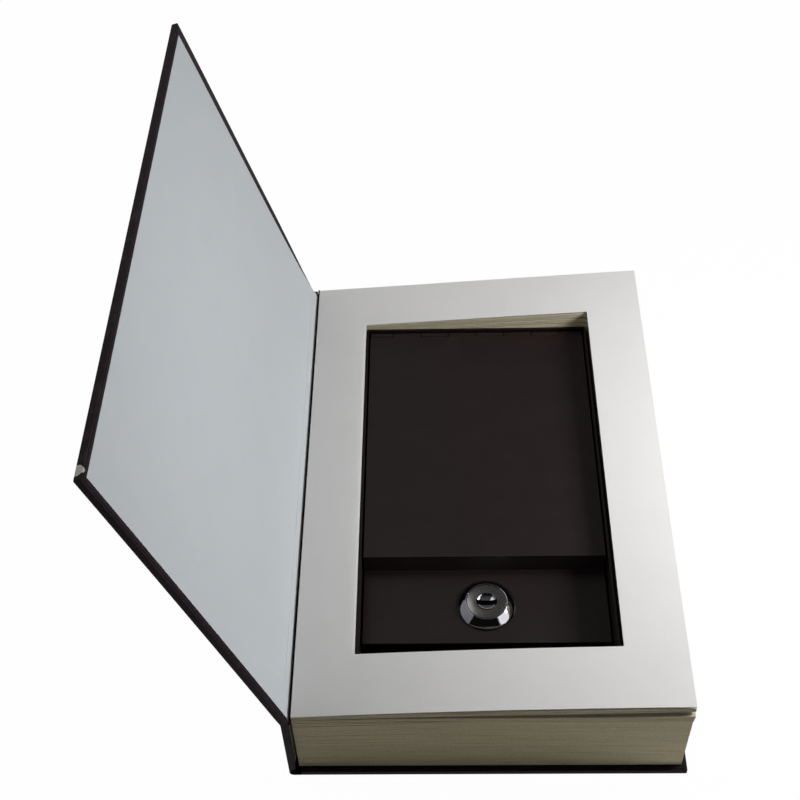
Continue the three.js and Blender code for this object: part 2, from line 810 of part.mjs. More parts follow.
function catchRivets() {
  const rivets = [];
  const wallFront = innerWall.y0 + steel / 2;
  const leafBack = innerWall.y0 + steel + catchThickness + 2 * seatGap;
  for (const side of [-1, 1]) {
    const x = lock.x + side * rivetSpacing / 2;
    const shank = rodY(rivetRadius, wallFront, leafBack + 0.01, x, rivetZ());
    const head = rodY(rivetHeadRadius, leafBack, leafBack + rivetHeadHeight, x, rivetZ());
    const name = side < 0 ? "catch_rivet_1" : "catch_rivet_2";
    rivets.push(namedMesh(name, shank.add(head), zincMaterial));
  }
  return rivets;
}

// The whole book
const book = new THREE.Group();
book.add(backCover(), spine(), frontCover(), rearJoint(), frontJoint());
book.add(pageBlock(), blockLining(), flyleaf(), ...looseLeaves());
book.add(boxGluePad(), boxTray(), lidPan(), hingePin());
book.add(lockBody(), lockWasher(), lockNut(), lockPlug(), ...lockWafers());
book.add(lockCam(), camWasher(), camScrew(), camCatch(), ...catchRivets());
book.position.set(-blockWidth / 2, -blockLength / 2, 0);

const model = new THREE.Group();
model.add(book);

export default model;
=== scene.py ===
# Book diversion safe: an open hardcover, its pages cut out round a steel box with a cam lock
import math

import bmesh
import bpy
from mathutils import Matrix, Vector, noise


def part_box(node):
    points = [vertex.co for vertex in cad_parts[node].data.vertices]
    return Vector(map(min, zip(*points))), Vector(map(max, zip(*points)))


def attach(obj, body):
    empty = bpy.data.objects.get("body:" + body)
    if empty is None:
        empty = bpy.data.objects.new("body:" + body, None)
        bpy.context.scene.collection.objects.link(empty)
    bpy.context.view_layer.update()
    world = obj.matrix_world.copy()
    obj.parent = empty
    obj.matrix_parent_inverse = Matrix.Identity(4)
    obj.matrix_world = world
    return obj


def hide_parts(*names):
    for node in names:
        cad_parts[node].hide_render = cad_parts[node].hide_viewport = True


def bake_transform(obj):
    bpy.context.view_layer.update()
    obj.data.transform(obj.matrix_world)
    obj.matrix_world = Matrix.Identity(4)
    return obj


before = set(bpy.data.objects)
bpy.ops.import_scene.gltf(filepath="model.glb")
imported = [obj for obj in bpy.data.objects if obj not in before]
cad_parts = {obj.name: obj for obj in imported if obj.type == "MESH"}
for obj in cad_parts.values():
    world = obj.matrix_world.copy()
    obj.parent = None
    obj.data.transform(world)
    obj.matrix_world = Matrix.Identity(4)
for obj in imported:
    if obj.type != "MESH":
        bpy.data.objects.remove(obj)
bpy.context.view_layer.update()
print("frame loaded:", len(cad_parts), "nodes")

scene = bpy.context.scene
mm = 0.001

# Book coordinates: millimetres, x from the pages' spine side, y from their tail, z up from the table
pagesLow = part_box("page_block")[0]
bookOrigin = Vector((pagesLow.x, pagesLow.y, 0))

pages = {
    "width": 155.0,
    "length": 235.0,
    "foot": 3.2,
    "riseTail": 6.5,
    "riseHead": 11.0,
    "tailBulge": 1.4,
    "cutLeft": 24.0,
    "groupCutLeft": 23.2,
    "cutRight": 130.0,
    "leafCutRight": 131.7,
    "cutTail": 26.6,
    "cutHead": 209.0,
}


def inFrame(x, y, z):
    return bookOrigin + Vector((x, y, z)) * mm


def leafRise(x, y):
    # how far the lifted leaves stand above their spine edge
    across = x / pages["width"]
    towardsHead = y / pages["length"]
    rise = pages["riseTail"] + (pages["riseHead"] - pages["riseTail"]) * towardsHead
    return across * rise + pages["tailBulge"] * 4 * across * (1 - across) * (1 - towardsHead)


# mesh helpers

def newObject(name, data):
    made = bpy.data.objects.new(name, data)
    scene.collection.objects.link(made)
    return made


def newPiece(name, points, faces):
    mesh = bpy.data.meshes.new(name)
    mesh.from_pydata([tuple(p) for p in points], [], faces)
    mesh.validate()
    mesh.update()
    return newObject(name, mesh)


def pieceFromBm(name, bm):
    mesh = bpy.data.meshes.new(name)
    bm.to_mesh(mesh)
    bm.free()
    return newObject(name, mesh)


def bakeModifiers(piece):
    depsgraph = bpy.context.evaluated_depsgraph_get()
    finished = bpy.data.meshes.new_from_object(
        piece.evaluated_get(depsgraph), preserve_all_data_layers=True, depsgraph=depsgraph)
    piece.modifiers.clear()
    piece.data = finished
    finished.name = piece.name


def smoothed(piece, degrees):
    for face in piece.data.polygons:
        face.use_smooth = True
    piece.data.set_sharp_from_angle(angle=math.radians(degrees))
    return piece


def faceOutwards(piece):
    bm = bmesh.new()
    bm.from_mesh(piece.data)
    bmesh.ops.recalc_face_normals(bm, faces=bm.faces)
    bm.to_mesh(piece.data)
    bm.free()
    return piece


def dress(piece, material, body, slotName, *nodes):
    piece.data.materials.clear()
    piece.data.materials.append(material)
    if body:
        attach(piece, body)
    if nodes:
        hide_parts(*nodes)
    return piece


def linesBetween(stops, step):
    # grid lines through the stops, with even steps between them
    lines = [stops[0]]
    for low, high in zip(stops, stops[1:]):
        count = max(1, round((high - low) / step))
        lines += [low + (high - low) * (k + 1) / count for k in range(count)]
    return lines


def slabFromGrid(name, xs, ys, top, foot, isKept=lambda x, y: True):
    # a closed slab over the kept cells of a grid, between two height functions
    points, faces, known = [], [], {}

    def corner(i, k, level):
        key = (i, k, level)
        if key not in known:
            known[key] = len(points)
            points.append((top if level else foot)(xs[i], ys[k]))
        return known[key]

    def kept(i, k):
        inside = 0 <= i < len(xs) - 1 and 0 <= k < len(ys) - 1
        return inside and isKept((xs[i] + xs[i + 1]) / 2, (ys[k] + ys[k + 1]) / 2)

    for i in range(len(xs) - 1):
        for k in range(len(ys) - 1):
            if not kept(i, k):
                continue
            loop = [(i, k), (i + 1, k), (i + 1, k + 1), (i, k + 1)]
            faces.append([corner(*c, 1) for c in loop])
            faces.append([corner(*c, 0) for c in reversed(loop)])
            sides = [(i, k - 1), (i + 1, k), (i, k + 1), (i - 1, k)]
            for n, (si, sk) in enumerate(sides):
                if not kept(si, sk):
                    a, b = loop[n], loop[(n + 1) % 4]
                    faces.append([corner(*a, 0), corner(*b, 0), corner(*b, 1), corner(*a, 1)])
    return newPiece(name, points, faces)


def besideCutOut(x, y, cutLeft=pages["cutLeft"], cutRight=pages["cutRight"]):
    return not (cutLeft < x < cutRight and pages["cutTail"] < y < pages["cutHead"])


def pageLines(cutLeft, cutRight, step):
    # grid lines over a sheet that meet the edges of its cut-out
    xs = linesBetween([0, cutLeft, cutRight, pages["width"]], step)
    return xs, linesBetween([0, pages["cutTail"], pages["cutHead"], pages["length"]], step)


def lathe(name, profile, sides=96):
    # (radius, height) points turned about the lock's axis, closed where they start away from it
    centre = lock["centre"]
    points, faces, rings = [], [], []
    for radius, height in profile:
        count = sides if radius else 1
        rings.append(range(len(points), len(points) + count))
        for k in range(count):
            angle = 2 * math.pi * k / sides
            x = centre[0] + radius * math.cos(angle)
            y = centre[1] + radius * math.sin(angle)
            points.append(inFrame(x, y, centre[2] + height))
    pairs = list(zip(rings, rings[1:]))
    if len(rings[0]) > 1:
        pairs.append((rings[-1], rings[0]))
    for low, high in pairs:
        for k in range(sides):
            n = (k + 1) % sides
            if len(low) == 1:
                faces.append((low[0], high[n], high[k]))
            elif len(high) == 1:
                faces.append((low[k], low[n], high[0]))
            else:
                faces.append((low[k], low[n], high[n], high[k]))
    return faceOutwards(newPiece(name, points, faces))


def softened(nodeName, newName, width, segments=2):
    # a merged copy of a CAD node with its sharp edges rounded
    bm = bmesh.new()
    bm.from_mesh(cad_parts[nodeName].data)
    bmesh.ops.remove_doubles(bm, verts=bm.verts, dist=2e-6)
    bmesh.ops.dissolve_limit(bm, angle_limit=math.radians(0.6), verts=bm.verts, edges=bm.edges)
    piece = pieceFromBm(newName, bm)
    bevel = piece.modifiers.new("rounded edges", "BEVEL")
    bevel.width = width * mm
    bevel.segments = segments
    bevel.limit_method = "ANGLE"
    bevel.angle_limit = math.radians(40)
    bevel.use_clamp_overlap = True
    bakeModifiers(piece)
    smoothed(piece, 32)
    flatten = piece.modifiers.new("flat faces stay flat", "WEIGHTED_NORMAL")
    flatten.keep_sharp = True
    bakeModifiers(piece)
    return piece


# node helpers

def addNode(tree, kind, inputs=None, **settings):
    # adds a node, sets its options, and sets or links its inputs by name or number
    node = tree.nodes.new(kind)
    for option, setting in settings.items():
        setattr(node, option, setting)
    for key, given in (inputs or {}).items():
        socket = node.inputs[key]
        if isinstance(given, bpy.types.NodeSocket):
            tree.links.new(given, socket)
        else:
            socket.default_value = given
    return node


def calc(tree, operation, *values, clamp=False):
    node = addNode(tree, "ShaderNodeMath", dict(enumerate(values)), operation=operation, use_clamp=clamp)
    return node.outputs[0]


def times(tree, first, *others):
    for other in others:
        first = calc(tree, "MULTIPLY", first, other)
    return first


def plus(tree, first, *others):
    for other in others:
        first = calc(tree, "ADD", first, other)
    return first


def minus(tree, first, other):
    return calc(tree, "SUBTRACT", first, other)


def above(tree, given, start, gain):
    # how far a value stands above a start, times a gain, kept between 0 and 1
    return calc(tree, "MULTIPLY", minus(tree, given, start), gain, clamp=True)


def noiseAt(tree, place, scale, detail, roughness=0.5, output=0):
    return addNode(tree, "ShaderNodeTexNoise", {
        "Vector": place, "Scale": scale, "Detail": detail, "Roughness": roughness}).outputs[output]


def partsOf(tree, place):
    return addNode(tree, "ShaderNodeSeparateXYZ", {"Vector": place}).outputs


def joined(tree, x, y, z):
    return addNode(tree, "ShaderNodeCombineXYZ", {0: x, 1: y, 2: z}).outputs[0]


def mixColours(tree, factor, first, second):
    return addNode(tree, "ShaderNodeMix", {0: factor, 6: first, 7: second}, data_type="RGBA").outputs[2]


def smoothStep(tree, given, low, high, first, last):
    return addNode(tree, "ShaderNodeMapRange", {0: given, 1: low, 2: high, 3: first, 4: last},
                   interpolation_type="SMOOTHSTEP").outputs[0]


def objectPlace(tree):
    return addNode(tree, "ShaderNodeTexCoord").outputs["Object"]


def emptyTree(owner):
    owner.use_nodes = True
    owner.node_tree.nodes.clear()
    return owner.node_tree


def newMaterial(name, roughness, specular=0.5):
    material = bpy.data.materials.new(name)
    tree = emptyTree(material)
    shader = addNode(tree, "ShaderNodeBsdfPrincipled", {
        "Roughness": roughness, "Specular IOR Level": specular})
    addNode(tree, "ShaderNodeOutputMaterial", {"Surface": shader.outputs[0]})
    return material, tree, shader


def newGroup(name, inputs, outputs, treeKind="ShaderNodeTree"):
    group = bpy.data.node_groups.new(name, treeKind)
    for way, sockets in (("INPUT", inputs), ("OUTPUT", outputs)):
        for socketName, kind in sockets.items():
            group.interface.new_socket(socketName, in_out=way, socket_type="NodeSocket" + kind)
    return group, addNode(group, "NodeGroupInput").outputs, addNode(group, "NodeGroupOutput").inputs


def useGroup(tree, group, inputs):
    return addNode(tree, "ShaderNodeGroup", inputs, node_tree=group).outputs


def surface(tree, shader, tone, height, depth, strength=1.0):
    # a material's colour and its relief
    relief = addNode(tree, "ShaderNodeBump", {
        "Height": height, "Distance": depth * mm, "Strength": strength})
    tree.links.new(tone, shader.inputs["Base Color"])
    tree.links.new(relief.outputs[0], shader.inputs["Normal"])


# Paper: soft mottle, short fibres and a faint tooth
def makePaperFibre():
    group, given, result = newGroup(
        "paper fibre",
        {"Place": "Vector", "Colour": "Color", "Shade": "Color", "Mottle": "Float"},
        {"Colour": "Color", "Height": "Float"})
    place = given["Place"]
    cloud = noiseAt(group, place, 45.0, 3.0, 0.6)
    tooth = noiseAt(group, place, 2200.0, 2.0, 0.6)
    turned = addNode(group, "ShaderNodeMapping", {
        "Vector": place, "Rotation": (0.3, 0.2, 0.7), "Scale": (2600.0, 420.0, 2600.0)}).outputs[0]
    fibre = noiseAt(group, turned, 1.0, 1.0)
    both = plus(group, above(group, cloud, 0.42, 2.2), times(group, minus(group, fibre, 0.5), 0.8))
    amount = calc(group, "MULTIPLY", both, given["Mottle"], clamp=True)
    group.links.new(mixColours(group, amount, given["Colour"], given["Shade"]), result["Colour"])
    group.links.new(plus(group, fibre, tooth), result["Height"])
    return group


# Plain weave: two sets of threads with slubs, from a place in metres along and across the cloth
def makePlainWeave():
    group, given, result = newGroup(
        "plain weave", {"Place": "Vector", "Pitch": "Float"}, {"Height": "Float"})
    split = partsOf(group, given["Place"])
    waves = []
    for axis in (0, 1):
        turns = calc(group, "DIVIDE", split[axis], given["Pitch"])
        waves.append(calc(group, "SINE", times(group, turns, 2 * math.pi)))
    stretched = addNode(group, "ShaderNodeMapping", {
        "Vector": given["Place"], "Scale": (160.0, 1900.0, 1.0)}).outputs[0]
    slub = noiseAt(group, stretched, 1.0, 2.0)
    group.links.new(plus(group, times(group, *waves, 0.5), slub), result["Height"])
    return group


# Fine grain for paint and plated metal, with a thin uneven film of dust
def makeFineGrain():
    group, given, result = newGroup(
        "fine grain",
        {"Place": "Vector", "Grain": "Float", "Cloud": "Float"},
        {"Grain": "Float", "Film": "Float"})
    film = noiseAt(group, given["Place"], given["Cloud"], 4.0, 0.62)
    group.links.new(noiseAt(group, given["Place"], given["Grain"], 2.0, 0.55), result["Grain"])
    group.links.new(above(group, film, 0.4, 3.0), result["Film"])
    return group


paperFibre = makePaperFibre()
plainWeave = makePlainWeave()
fineGrain = makeFineGrain()


# materials

def makePaper(name, tone, shade, mottle, roughness=0.9, specular=0.25, depth=0.02, strength=0.5):
    material, tree, shader = newMaterial(name, roughness, specular)
    fibre = useGroup(tree, paperFibre, {
        "Place": objectPlace(tree), "Colour": (*tone, 1), "Shade": (*shade, 1), "Mottle": mottle})
    surface(tree, shader, fibre["Colour"], fibre["Height"], depth, strength)
    return material


edgeLook = {
    "cream": (0.76, 0.685, 0.455, 1),
    "shade": (0.49, 0.42, 0.26, 1),
    "linesPerLayer": 5.0,
    "alongScale": 60.0,
    "speckScale": 1500.0,
    "broadPerLayer": 0.45,
    "broadAlong": 0.3,
    # how much of fine lines, broad bands and specks
    "shares": (0.4, 0.2, 0.4),
    "darkFrom": 0.42,
    "darkGain": 3.2,
}


def makePageEdges():
    # cut leaves seen edge on: fine lines that follow the layers, broad bands and specks
    material, tree, shader = newMaterial("cut page edges", 0.92, 0.2)
    layer = addNode(tree, "ShaderNodeAttribute", attribute_name="pageLevel").outputs["Fac"]
    split = partsOf(tree, objectPlace(tree))
    along = times(tree, plus(tree, split[0], split[1]), edgeLook["alongScale"])
    fineAt = joined(tree, along, times(tree, layer, edgeLook["linesPerLayer"]), 0.0)
    fine = noiseAt(tree, fineAt, 1.0, 2.0)
    broadAt = joined(
        tree, times(tree, along, edgeLook["broadAlong"]), times(tree, layer, edgeLook["broadPerLayer"]), 3.0)
    broad = noiseAt(tree, broadAt, 1.0, 2.0)
    speck = noiseAt(tree, objectPlace(tree), edgeLook["speckScale"], 2.0)
    patterns = zip((fine, broad, speck), edgeLook["shares"])
    mixed = plus(tree, *(times(tree, pattern, share) for pattern, share in patterns))
    dark = above(tree, mixed, edgeLook["darkFrom"], edgeLook["darkGain"])
    tone = mixColours(tree, dark, edgeLook["cream"], edgeLook["shade"])
    surface(tree, shader, tone, fine, 0.06, 0.7)
    return material


clothLook = {
    "thread": (0.0145, 0.0062, 0.0100, 1),
    "hollowShaded": (0.0070, 0.0030, 0.0048, 1),
    "worn": (0.048, 0.030, 0.034, 1),
    "bareBoard": (0.62, 0.58, 0.52, 1),
    "pitch": 0.55 * mm,
    "threadGain": 0.9,
    "rubbedScale": 210.0,
    "rubbedShare": 0.55,
    # the rubbed spot on the front cover's tail corner, in book coordinates
    "nick": (-51.5, 1.6, 196.4),
    "nickSize": 2.1 * mm,
    "nickRagged": 3 * mm,
}


def makeBookCloth():
    material, tree, shader = newMaterial("book cloth", 0.78, 0.14)
    place = addNode(tree, "ShaderNodeAttribute", attribute_name="clothPlace").outputs["Vector"]
    edge = addNode(tree, "ShaderNodeAttribute", attribute_name="clothEdge").outputs["Fac"]
    weave = useGroup(tree, plainWeave, {"Place": place, "Pitch": clothLook["pitch"]})
    # painted shade: the cloth is darker where the weave is low, between the threads
    thread = calc(tree, "MULTIPLY", weave["Height"], clothLook["threadGain"], clamp=True)
    body = mixColours(tree, thread, clothLook["hollowShaded"], clothLook["thread"])
    here = objectPlace(tree)
    patch = noiseAt(tree, here, clothLook["rubbedScale"], 4.0)
    rubbed = times(tree, above(tree, patch, 0.5, 4.0), edge, clothLook["rubbedShare"])
    body = mixColours(tree, rubbed, body, clothLook["worn"])
    offset = addNode(tree, "ShaderNodeVectorMath", {
        0: here, 1: tuple(inFrame(*clothLook["nick"]))}, operation="DISTANCE").outputs["Value"]
    ragged = plus(tree, offset, times(tree, minus(tree, patch, 0.5), clothLook["nickRagged"]))
    bare = calc(tree, "LESS_THAN", ragged, clothLook["nickSize"])
    body = mixColours(tree, bare, body, clothLook["bareBoard"])
    shader.inputs["Sheen Weight"].default_value = 0.02
    shader.inputs["Sheen Roughness"].default_value = 0.5
    surface(tree, shader, body, weave["Height"], 0.07, 0.6)
    return material


def makeLining():
    # kraft paper over open gauze
    material, tree, shader = newMaterial("spine lining", 0.93)
    here = objectPlace(tree)
    turned = addNode(tree, "ShaderNodeMapping", {"Vector": here, "Rotation": (0, math.pi / 2, 0)}).outputs[0]
    weave = useGroup(tree, plainWeave, {"Place": turned, "Pitch": 1.2 * mm})
    fibre = useGroup(tree, paperFibre, {
        "Place": here, "Colour": (0.46, 0.39, 0.27, 1), "Shade": (0.34, 0.27, 0.17, 1), "Mottle": 0.9})
    surface(tree, shader, fibre["Colour"], weave["Height"], 0.1)
    return material


def grained(name, roughness, specular, grain, film):
    material, tree, shader = newMaterial(name, roughness, specular)
    look = useGroup(tree, fineGrain, {"Place": objectPlace(tree), "Grain": grain, "Cloud": film})
    return material, tree, shader, look


def makeGlue():
    material, tree, shader, look = grained("dried glue", 0.4, 0.5, 500.0, 120.0)
    tone = mixColours(tree, look["Film"], (0.66, 0.58, 0.36, 1), (0.5, 0.4, 0.2, 1))
    surface(tree, shader, tone, look["Film"], 0.1)
    return material


coatLook = {
    "black": (0.0104, 0.0050, 0.0052, 1),
    "dusty": (0.0158, 0.0096, 0.0096, 1),
    "roughness": 0.5,
    # the lid's step face, given a lighter colour as painted light; its place in metres
    "stepPaintedLight": (0.036, 0.026, 0.026, 1),
    "stepY": -0.042,
    "stepReach": 0.0014,
    "stepTop": 0.0414,
}


def makeBlackCoat():
    # fine textured powder coat with a trace of dust, and painted light on the lid's step face
    material, tree, shader, look = grained("black powder coat", coatLook["roughness"], 0.25, 3000.0, 70.0)
    speck = above(tree, look["Grain"], 0.45, 2.0)
    amount = times(tree, plus(tree, look["Film"], speck), 0.5)
    body = mixColours(tree, amount, coatLook["black"], coatLook["dusty"])
    # painted light: the lid's step face takes a lighter colour, for light the lamps don't bring there
    split = partsOf(tree, objectPlace(tree))
    offset = calc(tree, "ABSOLUTE", minus(tree, split[1], coatLook["stepY"]))
    beside = calc(tree, "LESS_THAN", offset, coatLook["stepReach"])
    onStep = times(tree, beside, calc(tree, "LESS_THAN", split[2], coatLook["stepTop"]))
    body = mixColours(tree, onStep, body, coatLook["stepPaintedLight"])
    surface(tree, shader, body, look["Grain"], 0.035, 0.6)
    return material


def makeMetal(name, tone, dulled, roughness, grain, film, depth):
    material, tree, shader, look = grained(name, roughness, 0.5, grain, film)
    mixed = mixColours(tree, look["Film"], (*tone, 1), (*dulled, 1))
    shader.inputs["Metallic"].default_value = 1.0
    spread = calc(tree, "MULTIPLY_ADD", look["Grain"], roughness * 0.5, roughness * 0.75)
    tree.links.new(spread, shader.inputs["Roughness"])
    surface(tree, shader, mixed, look["Grain"], depth, 0.5)
    return material


endpaper = makePaper("endpaper", (0.80, 0.79, 0.775), (0.72, 0.71, 0.69), 0.35)
# painted shade and painted sky light: the pastedown is the endpaper's own stock, made darker and bluer
endpaperShadedCopy = makePaper("pastedown", (0.685, 0.722, 0.752), (0.63, 0.67, 0.705), 0.45)
leafPaper = makePaper("leaf paper", (0.70, 0.655, 0.55), (0.60, 0.55, 0.43), 0.5)
greyBoard = makePaper("grey board", (0.27, 0.225, 0.17), (0.17, 0.14, 0.11), 1.0, 0.95, 0.5, 0.06, 1.0)
pageEdges = makePageEdges()
bookCloth = makeBookCloth()
spineLining = makeLining()
driedGlue = makeGlue()
blackCoat = makeBlackCoat()
chrome = makeMetal("dark chrome", (0.30, 0.295, 0.32), (0.24, 0.235, 0.25), 0.07, 700.0, 90.0, 0.002)
satinSteel = makeMetal(
    "satin lock face", (0.19, 0.183, 0.178), (0.15, 0.144, 0.14), 0.26, 2600.0, 160.0, 0.008)
zincPlate = makeMetal("zinc plate", (0.55, 0.56, 0.57), (0.42, 0.42, 0.41), 0.34, 1500.0, 130.0, 0.012)
wafersBrass = makeMetal("wafer brass", (0.60, 0.42, 0.14), (0.45, 0.30, 0.10), 0.3, 1800.0, 200.0, 0.01)
print("materials made:", len(bpy.data.materials))


# camera, from the fit to the photographed edges

cameraFit = {
    "focalPixels": 1359.50,
    "imagePixels": 800,
    "azimuth": 2.392,
    "elevation": 48.751,
    "roll": -2.451,
    "position": (58.00, -252.59, 517.19),
}


def placeCamera():
    azimuth, elevation, roll = (math.radians(cameraFit[name]) for name in ("azimuth", "elevation", "roll"))
    back = Vector((math.sin(azimuth) * math.cos(elevation), -math.cos(azimuth) * math.cos(elevation),
                   math.sin(elevation)))
    right = Vector((math.cos(azimuth), math.sin(azimuth), 0))
    up = back.cross(right)
    rolledRight = right * math.cos(roll) + up * math.sin(roll)
    rolledUp = up * math.cos(roll) - right * math.sin(roll)
    data = bpy.data.cameras.new("camera")
    data.sensor_width = 36
    data.lens = cameraFit["focalPixels"] * data.sensor_width / cameraFit["imagePixels"]
    data.clip_start = 0.01
    data.clip_end = 50
    camera = newObject("camera", data)
    turn = Matrix((rolledRight, rolledUp, back)).transposed().to_4x4()
    camera.matrix_world = Matrix.Translation(inFrame(*cameraFit["position"])) @ turn
    scene.camera = camera


placeCamera()


# floor, world and lamps

studio = {
    "floorColour": (0.92, 0.92, 0.92, 1),
    "floorReach": 4.0,
    "floorHeight": -0.3 * mm,
    "whiteShare": 0.985,
    "ambient": 0.05,
    "glossHorizon": 0.8,
    "glossHigh": 0.16,
    "glossFront": 0.06,
    # where each part of the reflected room fades in or out
    "wallFade": (0.30, 0.48),
    "behindFade": (-0.35, 0.25),
    "panelFade": (0.93, 0.965),
    "panelTowards": (0.81, -0.28, 0.51),
    "panelStrength": 2.6,
    "key": {"place": (350, 110, 240), "aim": (80, 110, 40), "size": 0.12, "power": 0.97},
    "fill": {"place": (-300, 350, 600), "aim": (80, 110, 40), "size": 0.5, "power": 1.59},
}


def makeFloor():
    material = bpy.data.materials.new("pale floor")
    tree = emptyTree(material)
    plain = addNode(tree, "ShaderNodeBsdfDiffuse", {"Color": studio["floorColour"]})
    glow = addNode(tree, "ShaderNodeEmission", {"Color": (1, 1, 1, 1), "Strength": 1.0})
    rays = addNode(tree, "ShaderNodeLightPath").outputs
    seen = calc(tree, "MAXIMUM", rays["Is Camera Ray"], rays["Is Glossy Ray"])
    seen = calc(tree, "MAXIMUM", seen, rays["Is Transmission Ray"])
    share = times(tree, seen, studio["whiteShare"])
    blend = addNode(tree, "ShaderNodeMixShader", {0: share, 1: plain.outputs[0], 2: glow.outputs[0]})
    addNode(tree, "ShaderNodeOutputMaterial", {"Surface": blend.outputs[0]})
    half = studio["floorReach"]
    corners = [(-half, -half), (half, -half), (half, half), (-half, half)]
    floor = newPiece("floor", [(x, y, studio["floorHeight"]) for x, y in corners], [(0, 1, 2, 3)])
    floor.data.materials.append(material)


def makeWorld():
    world = bpy.data.worlds.new("studio")
    scene.world = world
    tree = emptyTree(world)
    direction = addNode(tree, "ShaderNodeTexCoord").outputs["Generated"]
    split = partsOf(tree, direction)
    # reflections see pale walls behind the object, a dim room above and a dark one on the camera's side
    wall = smoothStep(tree, split[2], *studio["wallFade"], 1.0, 0.0)
    behind = smoothStep(tree, split[1], *studio["behindFade"], studio["glossFront"], 1.0)
    high = studio["glossHigh"]
    gloss = calc(tree, "MULTIPLY_ADD", wall, studio["glossHorizon"] - high, high)
    gloss = times(tree, gloss, behind)
    # a lit panel to the right, seen only in the polished metal
    aimed = addNode(tree, "ShaderNodeVectorMath", {0: direction, 1: studio["panelTowards"]},
                    operation="DOT_PRODUCT").outputs["Value"]
    lit = smoothStep(tree, aimed, *studio["panelFade"], 0.0, 1.0)
    gloss = calc(tree, "MULTIPLY_ADD", lit, studio["panelStrength"], gloss)
    rays = addNode(tree, "ShaderNodeLightPath").outputs
    unseen = addNode(tree, "ShaderNodeMix", {
        0: rays["Is Glossy Ray"], 2: studio["ambient"], 3: gloss}, data_type="FLOAT")
    shown = addNode(tree, "ShaderNodeMix", {
        0: rays["Is Camera Ray"], 2: unseen.outputs[0], 3: 1.0}, data_type="FLOAT")
    glow = addNode(tree, "ShaderNodeBackground", {"Color": (1, 1, 1, 1), "Strength": shown.outputs[0]})
    addNode(tree, "ShaderNodeOutputWorld", {"Surface": glow.outputs[0]})


def makeLamp(name):
    facts = studio[name]
    data = bpy.data.lights.new(name, "AREA")
    data.shape = "SQUARE"
    data.size = facts["size"]
    data.energy = facts["power"]
    lamp = newObject(name, data)
    place = inFrame(*facts["place"])
    away = place - inFrame(*facts["aim"])
    lamp.matrix_world = Matrix.Translation(place) @ away.to_track_quat("Z", "Y").to_matrix().to_4x4()
    lamp.visible_camera = False


makeFloor()
makeWorld()
makeLamp("key")
makeLamp("fill")
print("camera, floor and lamps placed")


# page block and loose leaves: thin slabs stacked by Geometry Nodes

stack = {
    "gridStep": 7.0,
    "slabShareBlock": 0.96,
    "slabShareGroup": 0.9,
    "blockLayers": 38,
    "groupLayers": 6,
    "groupThickness": 2.2,
    "groupCount": 3,
    "firstGroupTop": 43.5,
    "groupDrop": 2.5,
    "fan": 0.8,
    "spineFill": 0.27,
    "topSag": (0.0, 1.2, 1.2),
    "footSag": (1.0, 1.2, 0.6),
    "tailStep": (0.0, 1.3, 0.6),
    "raggedBlock": 0.06,
    "raggedGroup": 0.14,
    "raggedReach": 4 * mm,
    "raggedScale": 16.0,
    "seed": 11,
    "seedPerLayer": 7.31,
    # brings the sag's curve to 1 where it is deepest
    "sagGain": 6.75,
    "tailStepFall": 12.0,
}


